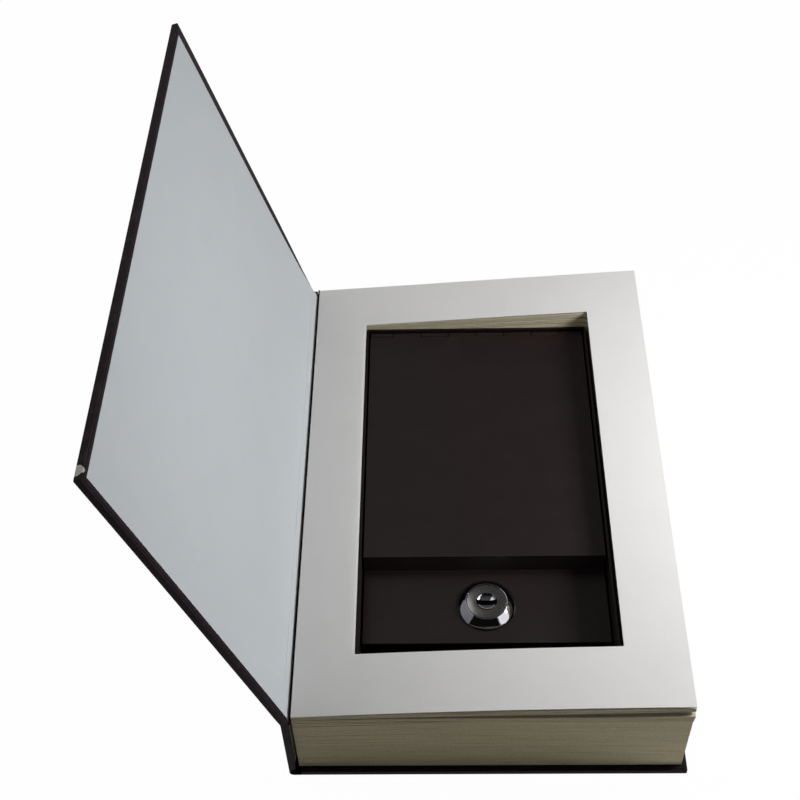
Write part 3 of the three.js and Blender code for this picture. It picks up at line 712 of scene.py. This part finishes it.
def makePageStackTree():
    numbers = ("Foot", "Foot Follows", "Top", "Fan", "Top Sag", "Foot Sag", "Tail Step", "Ragged", "Seed")
    inputs = {"Leaf": "Geometry", "Layers": "Int", **dict.fromkeys(numbers, "Float")}
    inputs.update({"Faces": "Material", "Edges": "Material"})
    tree, given, result = newGroup("page stack", inputs, {"Pages": "Geometry"}, "GeometryNodeTree")

    line = addNode(tree, "GeometryNodeMeshLine", {
        "Count": given["Layers"], "Offset": (0, 0, 1)}, mode="OFFSET")
    laid = addNode(tree, "GeometryNodeInstanceOnPoints", {
        "Points": line.outputs[0], "Instance": given["Leaf"]})
    real = addNode(tree, "GeometryNodeRealizeInstances", {"Geometry": laid.outputs[0]}).outputs[0]

    place = partsOf(tree, addNode(tree, "GeometryNodeInputPosition").outputs[0])
    across = calc(tree, "DIVIDE", minus(tree, place[0], bookOrigin.x), pages["width"] * mm)
    upwards = calc(tree, "DIVIDE", minus(tree, place[1], bookOrigin.y), pages["length"] * mm)
    rise = calc(tree, "MULTIPLY_ADD", upwards, pages["riseHead"] - pages["riseTail"], pages["riseTail"])
    fromFore = minus(tree, 1.0, across)
    bulge = times(tree, across, fromFore, minus(tree, 1.0, upwards), 4 * pages["tailBulge"])
    lifted = calc(tree, "MULTIPLY_ADD", across, rise, bulge)
    lifted = minus(tree, lifted, times(tree, across, given["Fan"]))
    # a sag across the sheet that dies out towards the head, and no gap left at the spine
    fromHead = calc(tree, "SUBTRACT", 1.0, upwards, clamp=True)
    sag = times(tree, across, across, times(tree, fromFore, stack["sagGain"]), fromHead)
    high = plus(tree, given["Top"], lifted)
    high = minus(tree, high, times(tree, sag, given["Top Sag"]))
    footLift = minus(tree, lifted, times(tree, sag, given["Foot Sag"]))
    footLift = minus(tree, footLift, times(tree, fromFore, stack["spineFill"]))
    low = calc(tree, "MULTIPLY_ADD", footLift, given["Foot Follows"], given["Foot"])
    share = calc(tree, "DIVIDE", place[2], given["Layers"])
    height = calc(tree, "MULTIPLY_ADD", minus(tree, high, low), share, low)

    # each layer is cut a little raggedly, but stays put at the spine
    seedAt = calc(tree, "MULTIPLY_ADD", calc(tree, "FLOOR", place[2]), stack["seedPerLayer"], given["Seed"])
    scale = stack["raggedScale"]
    at = joined(tree, times(tree, place[0], scale), times(tree, place[1], scale), seedAt)
    drift = partsOf(tree, noiseAt(tree, at, 1.0, 1.0, output="Color"))
    reach = times(tree, given["Ragged"], stack["raggedReach"])
    xShift = times(tree, minus(tree, drift[0], 0.5), reach, across)
    nearTail = calc(tree, "POWER", fromHead, stack["tailStepFall"])
    step = times(tree, nearTail, across, given["Tail Step"], mm)
    yShift = minus(tree, times(tree, minus(tree, drift[1], 0.5), reach), step)
    moved = joined(tree, plus(tree, place[0], xShift), plus(tree, place[1], yShift), times(tree, height, mm))

    marked = addNode(tree, "GeometryNodeStoreNamedAttribute", {
        "Geometry": real, "Name": "pageLevel", "Value": place[2]}, data_type="FLOAT", domain="POINT")
    shaped = addNode(tree, "GeometryNodeSetPosition", {"Geometry": marked.outputs[0], "Position": moved})
    faced = addNode(tree, "GeometryNodeSetMaterial", {
        "Geometry": shaped.outputs[0], "Material": given["Faces"]})
    normal = partsOf(tree, addNode(tree, "GeometryNodeInputNormal").outputs[0])
    steepest = 0.6
    upright = calc(tree, "LESS_THAN", calc(tree, "ABSOLUTE", normal[2]), steepest)
    edged = addNode(tree, "GeometryNodeSetMaterial", {
        "Geometry": faced.outputs[0], "Selection": upright, "Material": given["Edges"]})
    tree.links.new(edged.outputs[0], result["Pages"])
    return tree


pageStackTree = makePageStackTree()


def stackPages(name, cutLeft, slabShare, inputs, body, *nodes):
    # one unit slab, repeated and shaped by the tree, then made a plain mesh
    cutRight = pages["leafCutRight"]
    xs, ys = pageLines(cutLeft, cutRight, stack["gridStep"])
    top = lambda x, y: (*inFrame(x, y, 0).xy, slabShare)
    foot = lambda x, y: (*inFrame(x, y, 0).xy, 0)
    piece = slabFromGrid(name, xs, ys, top, foot, lambda x, y: besideCutOut(x, y, cutLeft, cutRight))
    modifier = piece.modifiers.new("page stack", "NODES")
    modifier.node_group = pageStackTree
    sockets = {item.name: item.identifier for item in pageStackTree.interface.items_tree}
    for key, given in {**inputs, "Faces": leafPaper, "Edges": pageEdges}.items():
        modifier[sockets[key]] = given
    bakeModifiers(piece)
    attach(piece, body)
    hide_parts(*nodes)
    return piece


def makePageBlock():
    top = stack["firstGroupTop"] - stack["groupCount"] * stack["groupDrop"]
    piece = stackPages("cut_pages", pages["cutLeft"], stack["slabShareBlock"], {
        "Layers": stack["blockLayers"], "Foot": pages["foot"], "Foot Follows": 0.0, "Top": top,
        "Fan": stack["fan"] * (stack["groupCount"] + 1), "Top Sag": 0.0, "Foot Sag": 0.0, "Tail Step": 0.0,
        "Ragged": stack["raggedBlock"], "Seed": float(stack["seed"])}, "book", "page_block")
    print("page block:", len(piece.data.polygons), "faces")


def makeLeafGroups():
    for k in range(stack["groupCount"]):
        top = stack["firstGroupTop"] - k * stack["groupDrop"]
        stackPages(f"leaf_group_{k + 1}", pages["groupCutLeft"], stack["slabShareGroup"], {
            "Layers": stack["groupLayers"], "Foot": top - stack["groupThickness"], "Foot Follows": 1.0,
            "Top": top, "Fan": stack["fan"] * (k + 1), "Top Sag": stack["topSag"][k],
            "Foot Sag": stack["footSag"][k], "Tail Step": stack["tailStep"][k],
            "Ragged": stack["raggedGroup"], "Seed": stack["seed"] + 40.0 * (k + 1)},
            "leaves", f"loose_leaves_{k + 1}")
    print("loose leaves:", stack["groupCount"], "groups")


makePageBlock()
makeLeafGroups()


# flyleaf: one free sheet with a slight wave

flyleaf = {
    "top": 44.1,
    "thickness": 0.3,
    "step": 3.0,
    "wave": 0.12,
    "waveFull": 20,
    "fillReach": 40,
    "curlReach": 0.9,
    "curlDrop": 0.34,
}


def makeFlyleaf():
    xs, ys = pageLines(pages["cutLeft"], pages["cutRight"], flyleaf["step"])
    xs = sorted(xs + [pages["cutLeft"] - flyleaf["curlReach"] * share for share in (0.33, 0.66, 1.0)])

    def wave(x, y):
        swell = noise.noise(Vector((x * 0.022, y * 0.016, 2.0)))
        # the cut edge beside the spine is pressed down a little
        near = 1 - (pages["cutLeft"] - x) / flyleaf["curlReach"]
        beside = x < pages["cutLeft"] + 0.01 and pages["cutTail"] < y < pages["cutHead"]
        curl = flyleaf["curlDrop"] * max(0, near) if beside else 0
        return flyleaf["wave"] * swell * min(1, x / flyleaf["waveFull"]) - curl

    def top(x, y):
        return inFrame(x, y, flyleaf["top"] + leafRise(x, y) + wave(x, y))

    def foot(x, y):
        fill = stack["spineFill"] * max(0, 1 - x / flyleaf["fillReach"])
        return inFrame(x, y, flyleaf["top"] - flyleaf["thickness"] - fill + leafRise(x, y) + wave(x, y))

    piece = smoothed(slabFromGrid("free_endpaper", xs, ys, top, foot, besideCutOut), 50)
    dress(piece, endpaper, "endleaf", "endpaper", "flyleaf")


makeFlyleaf()
print("flyleaf laid")


# case: one cloth over back board, spine and front board, made piece by piece along its section

case = {
    "tail": -2.5,
    "head": 237.5,
    "edgeRadius": 0.4,
    "cornerRadius": 0.5,
    "wearReach": 0.6,
    "openAngle": 106.95,
    "coverHinge": (-2.5, 44.8),
    "frontStart": 3.2,
    "boardEnd": 159.2,
    "frontOuter": 2.46,
    "frontInner": -0.34,
    "backStart": 1.4,
    "backEnd": 157.3,
    "backInner": 2.8,
}
turnIn = {"width": 15.0, "inset": 0.9, "mitreGap": 0.12, "edgePull": 0.12, "wear": 0.35, "steps": 16}
pasted = {
    "inset": 2.6,
    "foreInset": 2.3,
    "headInset": 5.0,
    "thickness": 0.16,
    "frontStart": 2.6,
    "frontFace": -0.64,
    # how the sheet sinks inside the turn-ins
    "sinkReach": 1.6,
    "sinkDepth": 0.09,
    "ripple": 0.04,
}
warp = {
    "tailSwing": 0.9,
    "headBow": 1.25,
    # brings the bow's curve to 1 where it is highest, a quarter of the way out
    "bowGain": 3.08,
    "headDip": 4.6,
    "dipReach": 60.0,
    "dipFrom": 41.2,
    "dipFull": 3.0,
    "headRise": 1.1,
    "headReach": 13.0,
}
openAngle = math.radians(case["openAngle"])
coverAlong = Vector((math.cos(openAngle), math.sin(openAngle)))
coverOutward = Vector((-math.sin(openAngle), math.cos(openAngle)))


def onFrontCover(u, w):
    # u runs from the hinge to the fore-edge, w from the hinge line outwards
    return Vector(case["coverHinge"]) + coverAlong * u + coverOutward * w


def onBackCover(u, w):
    return Vector((u, w))


def atSection(point, y):
    # a point of the book's section, at a place along the spine
    return inFrame(point.x, y, point.y)


def clamped(share):
    return max(0.0, min(1.0, share))


def eased(share):
    return share * share * (3 - 2 * share)


def quarterTurn(steps):
    return [math.pi / 2 * k / steps for k in range(steps + 1)]


def warpCover(piece, dips=True):
    # the board has pulled a little: out at the tail, bowed at the head, its cloth lower by the joint
    for vertex in piece.data.vertices:
        place = (vertex.co - bookOrigin) / mm
        along = (Vector((place.x, place.z)) - Vector(case["coverHinge"])).dot(coverAlong)
        share = clamped(along / case["boardEnd"])
        towardsHead = (place.y - case["tail"]) / (case["head"] - case["tail"])
        lean = warp["tailSwing"] * share ** 2 * (1 - towardsHead)
        bow = warp["headBow"] * warp["bowGain"] * math.sqrt(share) * (1 - share) ** 1.5 * towardsHead
        vertex.co += Vector((coverOutward.x, 0, coverOutward.y)) * (lean + bow) * mm
        if dips:
            near = clamped(1 - along / warp["dipReach"]) ** 2
            risen = clamped((place.z - warp["dipFrom"]) / warp["dipFull"])
            end = clamped((place.y - case["head"] + warp["headReach"]) / warp["headReach"])
            drop = warp["headDip"] * near * risen - warp["headRise"] * share
            vertex.co.y -= drop * eased(end) * mm
    piece.data.update()
    return piece


def clothRing(outer, inner, inset):
    # one section across the book: round the tail edge, over the outer face, round the head edge
    thickness = (inner - outer).length
    radius = min(case["edgeRadius"], thickness * 0.49)
    corner = [(radius + case["wearReach"], thickness, 0.15)]
    for angle in quarterTurn(4):
        corner.append((radius * (1 - math.sin(angle)), thickness - radius * (1 - math.cos(angle)), 1.0))
    for angle in quarterTurn(4):
        corner.append((radius * (1 - math.cos(angle)), radius * (1 - math.sin(angle)), 1.0))
    corner.append((radius + case["wearReach"], 0.0, 0.15))
    ring = []
    for start, side, row in ((case["tail"] + inset, 1, corner), (case["head"] - inset, -1, corner[::-1])):
        for reach, depth, edge in row:
            ring.append((atSection(outer.lerp(inner, depth / thickness), start + side * reach), edge))
    return ring


def tubeFaces(first, rings, count):
    # a closed tube over rings of points that follow each other, with a face on both ends
    last = first + (rings - 1) * count
    faces = []
    for low in range(first, last, count):
        for k in range(count):
            n = (k + 1) % count
            faces.append((low + k, low + n, low + count + n, low + count + k))
    return faces + [tuple(range(first, first + count)), tuple(reversed(range(last, last + count)))]


def clothPiece(name, points, faces, places, edges, degrees):
    piece = newPiece(name, points, faces)
    markCloth(piece, places, edges)
    return smoothed(faceOutwards(piece), degrees)


def clothBody(name, stations):
    # stations are (outer point, inner point, inset, wear) along the section
    points, places, edges = [], [], []
    along, previous = 0.0, stations[0][0]
    for outer, inner, inset, wear in stations:
        along += (outer - previous).length
        previous = outer
        ring = clothRing(outer, inner, inset)
        around, before = 0.0, ring[0][0]
        for point, edge in ring:
            around += (point - before).length
            before = point
            points.append(point)
            places.append((along * mm, around, 0.0))
            edges.append(max(edge, wear))
    return clothPiece(name, points, tubeFaces(0, len(stations), len(ring)), places, edges, 40)


def markCloth(piece, places, edges):
    place = piece.data.attributes.new("clothPlace", "FLOAT_VECTOR", "POINT")
    place.data.foreach_set("vector", [n for p in places for n in p])
    edge = piece.data.attributes.new("clothEdge", "FLOAT", "POINT")
    edge.data.foreach_set("value", edges)


def boardStations(pointAt, start, end, outer, inner):
    # a board's cloth from its joint to its rounded fore-edge
    us = linesBetween([start, end - 3.0], 12.0)
    stations = [(pointAt(u, outer), pointAt(u, inner), 0.0, 0.0) for u in us]
    middle = (outer + inner) / 2
    half = (outer - inner) / 2
    radius = case["edgeRadius"]
    for angle in quarterTurn(6):
        share = (abs(half) - radius * (1 - math.cos(angle))) / abs(half)
        u = end - radius + radius * math.sin(angle)
        inset = case["cornerRadius"] * (1 - math.cos(angle))
        stations.append((pointAt(u, middle + half * share), pointAt(u, middle - half * share), inset, 1.0))
    return stations


def addTurnIns(name, pointAt, start, end, inner, rise, body):
    # mitred strips of cloth turned over the board's inner face, under the pasted paper
    width, gap, steps = turnIn["width"], turnIn["mitreGap"], turnIn["steps"]
    tail, head = case["tail"] + turnIn["inset"], case["head"] - turnIn["inset"]
    far = end - turnIn["inset"]
    within = far - width
    strips = [
        [(start, tail), (far - gap, tail), (within - gap, tail + width), (start, tail + width)],
        [(start, head - width), (within - gap, head - width), (far - gap, head), (start, head)],
        [(far, tail + gap), (far, head - gap), (within, head - width - gap), (within, tail + width + gap)],
    ]
    points, faces = [], []
    for corners in strips:
        faces += tubeFaces(len(points), steps + 1, 6)
        a, b, c, d = (Vector(corner) for corner in corners)
        for step in range(steps + 1):
            one, other = a.lerp(b, step / steps), d.lerp(c, step / steps)
            pull = (other - one).normalized() * turnIn["edgePull"]
            points += [(one, 0.0), (other, 0.0), (other, rise * 0.6), (other - pull, rise),
                       (one + pull, rise), (one, rise * 0.6)]
    places = [(spot.x * mm, spot.y * mm, 0.0) for spot, lift in points]
    points = [atSection(pointAt(spot.x, inner + lift), spot.y) for spot, lift in points]
    piece = clothPiece(name, points, faces, places, [turnIn["wear"]] * len(points), 30)
    return dress(piece, bookCloth, body, "cover_cloth")


def pastedPaper(name, pointAt, start, end, surface, isFront):
    # the pasted sheet lies over the turn-ins and shows their edges as a faint step
    tail = case["tail"] + pasted["inset"]
    head = case["head"] - (pasted["headInset"] if isFront else pasted["inset"])
    width = turnIn["width"] + turnIn["inset"]
    ridgeX = (case["boardEnd"] if isFront else case["backEnd"]) - width
    lowY, highY = case["tail"] + width, case["head"] - width
    beside = (-1.0, -0.4, 0.4, 1.0)
    us = linesBetween([start, ridgeX - 2.0, ridgeX + 2.0, end], 5.0) + [ridgeX + d for d in beside]
    vs = linesBetween([tail, lowY - 2.0, lowY + 2.0, highY - 2.0, highY + 2.0, head], 5.0)
    vs += [y + d for y in (lowY, highY) for d in beside]
    inward = -1 if isFront else 1

    def sink(u, v):
        share = eased(clamped(min(ridgeX - u, v - lowY, highY - v) / pasted["sinkReach"] + 0.5))
        ripple = noise.noise(Vector((u * 0.03, v * 0.03, 5.0)))
        return pasted["sinkDepth"] * share + pasted["ripple"] * ripple * share

    def level(depth):
        return lambda u, v: atSection(pointAt(u, surface - inward * (sink(u, v) + depth)), v)

    us, vs = sorted(set(us)), sorted(set(vs))
    piece = slabFromGrid(name, us, vs, level(0.0), level(pasted["thickness"]))
    return smoothed(faceOutwards(piece), 50)


def makeFrontCover():
    board = (case["frontStart"], case["boardEnd"])
    stations = boardStations(onFrontCover, *board, case["frontOuter"], case["frontInner"])
    cloth = warpCover(clothBody("front_cloth", stations))
    dress(cloth, bookCloth, "front_cover", "cover_cloth", "front_cover_cloth")
    warpCover(addTurnIns("front_turn_ins", onFrontCover, *board, case["frontInner"], -0.2, "front_cover"))
    paper = pastedPaper("front_paper", onFrontCover, pasted["frontStart"],
                        case["boardEnd"] - pasted["foreInset"], pasted["frontFace"], True)
    dress(warpCover(paper, False), endpaperShadedCopy, "front_cover", "endpaper", "front_pastedown")


def makeFrontBoard():
    # the grey board keeps its CAD size and takes the cover's warp
    alongs, outs, ys = [], [], []
    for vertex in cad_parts["front_board"].data.vertices:
        place = (vertex.co - bookOrigin) / mm
        offset = Vector((place.x, place.z)) - Vector(case["coverHinge"])
        alongs.append(offset.dot(coverAlong))
        outs.append(offset.dot(coverOutward))
        ys.append(place.y)

    def level(out):
        return lambda u, v: atSection(onFrontCover(u, out), v)

    us = linesBetween([min(alongs), max(alongs)], 8.0)
    vs = linesBetween([min(ys), max(ys)], 24.0)
    board = slabFromGrid("front_board_core", us, vs, level(min(outs)), level(max(outs)))
    dress(warpCover(faceOutwards(board)), greyBoard, "front_cover", "greyboard", "front_board")


def makeBackCover():
    board = (case["backStart"], case["backEnd"])
    cloth = clothBody("back_cloth", boardStations(onBackCover, *board, 0.0, case["backInner"]))
    dress(cloth, bookCloth, "book", "cover_cloth", "back_cover_cloth")
    addTurnIns("back_turn_ins", onBackCover, *board, case["backInner"], 0.2, "book")
    paper = pastedPaper("back_paper", onBackCover, 3.7, case["backEnd"] - pasted["inset"], 3.1, False)
    dress(paper, endpaper, "book", "endpaper", "back_pastedown")


def sectionStations(rows):
    return [(Vector((a, b)), Vector((c, d)), 0.0, 0.0) for a, b, c, d in rows]


spinePanel = {
    "outer": -4.0,
    "inner": -1.3,
    "foot": 4.9,
    "top": 41.2,
    "liningFace": -1.0,
    "liningBack": -1.28,
    "liningRipple": 0.04,
    "grooveFoot": 41.9,
    "grooveTop": 42.3,
}


def makeSpine():
    rows = [(spinePanel["outer"], z, spinePanel["inner"], z)
            for z in linesBetween([spinePanel["foot"], spinePanel["top"]], 9.0)]
    cloth = clothBody("spine_skin", sectionStations(rows))
    dress(cloth, bookCloth, "spine", "cover_cloth", "spine_cloth")
    low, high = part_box("spine_lining")
    zs = linesBetween([low.z / mm, high.z / mm], 4.0)
    ys = linesBetween([0.2, 234.8], 6.0)
    ripple = lambda z, y: spinePanel["liningRipple"] * noise.noise(Vector((z * 0.2, y * 0.05, 1.0)))
    face = lambda z, y: inFrame(spinePanel["liningFace"] + ripple(z, y), y, z)
    under = lambda z, y: inFrame(spinePanel["liningBack"], y, z)
    lining = faceOutwards(slabFromGrid("spine_inner_paper", zs, ys, face, under))
    dress(smoothed(lining, 50), spineLining, "spine", "lining", "spine_lining")
    # a strip of book cloth across the groove beside the pages: a dark sheet put in the groove as painted
    # shade
    top = lambda x, y: inFrame(x, y, spinePanel["grooveTop"])
    foot = lambda x, y: inFrame(x, y, spinePanel["grooveFoot"])
    xs, ys = [spinePanel["inner"] + 0.35, -0.5, -0.16], linesBetween([-2.2, 237.2], 8.0)
    groove = faceOutwards(slabFromGrid("groove_shade_strip", xs, ys, top, foot))
    places = [(vertex.co.y, vertex.co.x, 0.0) for vertex in groove.data.vertices]
    markCloth(groove, places, [0.0] * len(places))
    dress(groove, bookCloth, "spine", "cover_cloth")


joints = {
    "rearRadius": 2.0,
    "hingeLow": (-2.5, 0, 41.8),
    "hingeHigh": (-2.7, 0, 47.6),
    # outer x, outer z, inner x, inner z, from the spine's top to the front board
    "front": [
        (-4.0, 41.2, -1.3, 41.2),
        (-4.12, 42.0, -1.35, 41.9),
        (-4.35, 42.9, -1.5, 42.7),
        (-4.62, 43.7, -1.7, 43.5),
        (-4.9, 44.5, -1.95, 44.4),
        (-5.12, 45.2, -2.2, 45.2),
        (-5.32, 45.8, -2.44, 45.9),
        (-5.5, 46.3, -2.64, 46.5),
        (-5.62, 46.8, -2.82, 47.1),
    ],
    "frontPaper": [
        (-1.28, 40.2, -0.98, 40.2),
        (-1.3, 41.3, -1.0, 41.3),
        (-1.38, 42.1, -1.12, 42.1),
        (-1.66, 43.2, -1.42, 43.15),
        (-1.92, 44.1, -1.68, 44.05),
        (-2.18, 45.0, -1.94, 44.9),
        (-2.42, 45.8, -2.18, 45.7),
        (-2.6, 46.5, -2.36, 46.4),
        (-2.74, 47.05, -2.52, 46.98),
    ],
    # the same order, from the back board round to the spine's foot
    "rearBoard": [
        (1.4, 0.0, 1.4, 2.8),
        (1.15, 0.0, 1.25, 2.4),
        (0.85, 0.0, 0.95, 1.3),
        (0.4, 0.0, 0.45, 0.62),
        (-0.8, 0.0, -0.8, 0.55),
    ],
    "rearSpine": [
        (-4.0, 3.4, -3.45, 3.4),
        (-4.0, 4.3, -3.2, 4.25),
        (-4.0, 4.6, -2.0, 4.5),
        (-4.0, 4.9, -1.3, 4.9),
    ],
}


def makeFrontJoint():
    rows = sectionStations(joints["front"])
    start = case["frontStart"]
    rows.append((onFrontCover(start, case["frontOuter"]), onFrontCover(start, case["frontInner"]), 0.0, 0.0))
    cloth = warpCover(clothBody("front_joint", rows))
    dress(cloth, bookCloth, None, "cover_cloth", "front_joint_cloth")
    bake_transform(cloth)
    rows = sectionStations(joints["frontPaper"])
    start = pasted["frontStart"]
    rows.append((onFrontCover(start, -0.48), onFrontCover(start, pasted["frontFace"]), 0.0, 0.0))
    ys = linesBetween([0.1, case["head"] - pasted["headInset"]], 6.0)
    face = lambda k, y: atSection(rows[k][1], y)
    under = lambda k, y: atSection(rows[k][0], y)
    paper = slabFromGrid("front_joint_paper", range(len(rows)), ys, face, under)
    paper = warpCover(faceOutwards(paper), False)
    dress(smoothed(paper, 60), endpaperShadedCopy, None, "endpaper")
    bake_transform(paper)


def makeRearJoint():
    outer, inner = joints["rearRadius"], joints["rearRadius"] - 0.55
    centre = spinePanel["outer"] + outer
    bend = []
    steps = 8
    for k in range(steps + 1):
        angle = math.pi * (1.5 - 0.5 * k / steps)
        c, s = math.cos(angle), math.sin(angle)
        bend.append((centre + outer * c, outer + outer * s, centre + inner * c, outer + inner * s))
    cloth = clothBody("rear_joint", sectionStations(joints["rearBoard"] + bend + joints["rearSpine"]))
    dress(cloth, bookCloth, None, "cover_cloth", "rear_joint_cloth")
    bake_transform(cloth)


makeFrontCover()
makeFrontBoard()
makeBackCover()
makeSpine()
makeFrontJoint()
makeRearJoint()
print("case covered")


# steel box, lid and catch

def plateParts(rows):
    # zinc-plated parts, as (CAD node, new name, width of the rounded edges, body)
    for nodeName, newName, width, body in rows:
        dress(softened(nodeName, newName, width), zincPlate, body, "zinc", nodeName)


dress(softened("box_tray", "steel_box", 0.46, 3), blackCoat, "book", "black_paint", "box_tray")
dress(softened("lid", "stepped_lid", 0.35), blackCoat, "box_lid", "black_paint", "lid")
plateParts([
    ("cam_catch", "catch_plate", 0.2, "book"),
    ("catch_rivet_1", "rivet_1", 0.25, "book"),
    ("catch_rivet_2", "rivet_2", 0.25, "book"),
])
print("box and lid made")


# cam lock

lock = {
    "centre": (77.5, 56.9, 33.2),
    "flangeRadius": 12.1,
    "flangeFoot": 0.45,
    "rimRadius": 8.8,
    "height": 3.3,
    "wellRadius": 8.38,
    "wellDepth": 1.9,
    "faceRadius": 8.22,
    "faceThickness": 1.8,
    "boreRadius": 5.56,
    "barrelRadius": 8.0,
    "barrelFlat": 7.0,
    "barrelLength": 11.5,
    "threadPitch": 1.0,
    "threadDepth": 0.45,
    "threadInner": 6.6,
    "plugRadius": 5.45,
    "dishRadius": 4.25,
    "dishDepth": 1.3,
    "slotLength": 8.6,
    "slotWidth": 2.3,
    "slotDepth": 13.5,
    "windowHalf": (6.5, 2.3, 0.6),
    "firstWindow": -4.0,
    "windowStep": 2.6,
    "tailHalf": 2.5,
    "tailEnds": (-1.8, 0.5),
    "screwHole": 1.8,
}


def fromLockAxis(place):
    middle = inFrame(*lock["centre"])
    return math.hypot(place.x - middle.x, place.y - middle.y)


def flankProfile():
    # the flange's slightly crowned slope, from its rim up to the raised ring
    outer, foot = lock["flangeRadius"], lock["flangeFoot"]
    steps = 8
    rows = []
    for k in range(1, steps + 1):
        share = k / (steps + 1)
        crown = 0.12 * math.sin(math.pi * share)
        rows.append((outer + (lock["rimRadius"] + 0.12 - outer) * share,
                     foot + (lock["height"] - 0.18 - foot) * share + crown))
    return rows


def makeLockBody():
    top, rim, well = lock["height"], lock["rimRadius"], lock["wellRadius"]
    outer, foot = lock["flangeRadius"], lock["flangeFoot"]
    bore, barrel, length = lock["boreRadius"], lock["barrelRadius"], lock["barrelLength"]
    profile = [(outer - 0.15, 0.0), (outer, 0.15), (outer, foot - 0.1), (outer - 0.08, foot)]
    profile += flankProfile()
    profile += [
        (rim + 0.06, top - 0.14), (rim - 0.04, top - 0.04), (rim - 0.14, top),
        (well + 0.12, top), (well + 0.04, top - 0.04), (well, top - 0.16),
        (well, top - lock["wellDepth"]), (bore, top - lock["wellDepth"]),
        (bore, -2.6), (6.35, -2.8), (6.35, -10.7), (bore, -10.9),
        (bore, -length), (barrel - 0.6, -length),
    ]
    z = -length + 0.5
    while z < -1.3:
        profile += [(barrel, z), (barrel - lock["threadDepth"], z + 0.5)]
        z += lock["threadPitch"]
    profile += [(barrel, -0.7), (barrel, 0.0)]
    piece = lathe("lock_flange", profile)
    # two flats down the threaded barrel
    middle = inFrame(*lock["centre"])
    low, high = middle.y - lock["barrelFlat"] * mm, middle.y + lock["barrelFlat"] * mm
    for vertex in piece.data.vertices:
        if vertex.co.z < middle.z - 0.1 * mm and fromLockAxis(vertex.co) > lock["threadInner"] * mm:
            vertex.co.y = min(max(vertex.co.y, low), high)
    dress(smoothed(piece, 28), chrome, "box_lid", "chrome", "lock_body")


def lockBlock(halfX, halfY, low, high):
    # a block about the lock's axis, between two heights from its centre
    x, y, z = lock["centre"]
    bm = bmesh.new()
    bmesh.ops.create_cube(bm, size=1.0)
    for vertex in bm.verts:
        corner = vertex.co
        vertex.co = inFrame(x + corner.x * 2 * halfX, y + corner.y * 2 * halfY,
                            z + low + (corner.z + 0.5) * (high - low))
    return pieceFromBm("lock_tool", bm)


def combine(piece, tool, operation):
    modifier = piece.modifiers.new("cut", "BOOLEAN")
    modifier.operation = operation
    modifier.solver = "EXACT"
    modifier.object = tool
    bakeModifiers(piece)
    bpy.data.objects.remove(tool)


def makeLockPlug():
    top, face, plug = lock["height"], lock["faceRadius"], lock["plugRadius"]
    dish, depth = lock["dishRadius"], lock["dishDepth"]
    tail = -lock["barrelLength"]
    profile = [(0.0, top - depth)]
    for angle in quarterTurn(10)[1:]:
        profile.append((dish * math.sin(angle), top - depth * math.cos(angle) ** 1.2 - 0.001))
    profile += [
        (dish + 0.15, top), (face - 0.25, top), (face - 0.06, top - 0.07), (face, top - 0.25),
        (face, top - lock["faceThickness"]), (plug, top - lock["faceThickness"]),
        (plug, tail - 0.1), (0.0, tail - 0.1),
    ]
    piece = lathe("lock_face", profile, 72)
    square = lock["tailHalf"]
    combine(piece, lockBlock(square, square, *(tail + end for end in lock["tailEnds"])), "UNION")
    slotFoot = top - lock["slotDepth"]
    combine(piece, lockBlock(lock["slotLength"] / 2, lock["slotWidth"] / 2, slotFoot, top + 1), "DIFFERENCE")
    halfX, halfY, halfZ = lock["windowHalf"]
    for k in range(3):
        at = lock["firstWindow"] - lock["windowStep"] * k
        combine(piece, lockBlock(halfX, halfY, at - halfZ, at + halfZ), "DIFFERENCE")
    hole = lock["screwHole"]
    drill = [(0.0, tail - 3), (hole, tail - 3), (hole, tail + 1.3), (0.0, tail + 1.3)]
    combine(piece, lathe("lock_tool", drill, 24), "DIFFERENCE")
    dress(smoothed(piece, 28), satinSteel, "lock_core", "lock_face", "lock_plug")
    # the dish round the key slot is polished
    piece.data.materials.append(chrome)
    polishedFoot = inFrame(0, 0, lock["centre"][2] + top - dish).z
    for polygon in piece.data.polygons:
        if fromLockAxis(polygon.center) < (dish + 0.1) * mm and polygon.center.z > polishedFoot:
            polygon.material_index = 1


makeLockBody()
makeLockPlug()
plateParts([
    ("lock_nut", "lock_ring_nut", 0.4, "box_lid"),
    ("lock_washer", "lock_ring_washer", 0.15, "box_lid"),
    ("lock_cam", "cam_arm", 0.2, "lock_core"),
    ("cam_washer", "cam_spacer", 0.1, "lock_core"),
    ("cam_screw", "cam_bolt", 0.15, "lock_core"),
])
print("lock built")


# CAD nodes that stay as they are get their finish

finishes = {
    "back_board": greyBoard,
    "spine_board": greyBoard,
    "block_spine_lining": spineLining,
    "box_glue": driedGlue,
    # the hinge pin takes the hinge's black coat in place of zinc; its dark colour also stands in for the
    # shade in the slits between the knuckles, as painted shade
    "hinge_pin": blackCoat,
    "lock_wafer_1": wafersBrass,
    "lock_wafer_2": wafersBrass,
    "lock_wafer_3": wafersBrass,
}
for nodeName, finish in finishes.items():
    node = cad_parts[nodeName]
    node.data.materials.clear()
    node.data.materials.append(finish)

scene.view_settings.view_transform = "Standard"

bpy.context.view_layer.update()
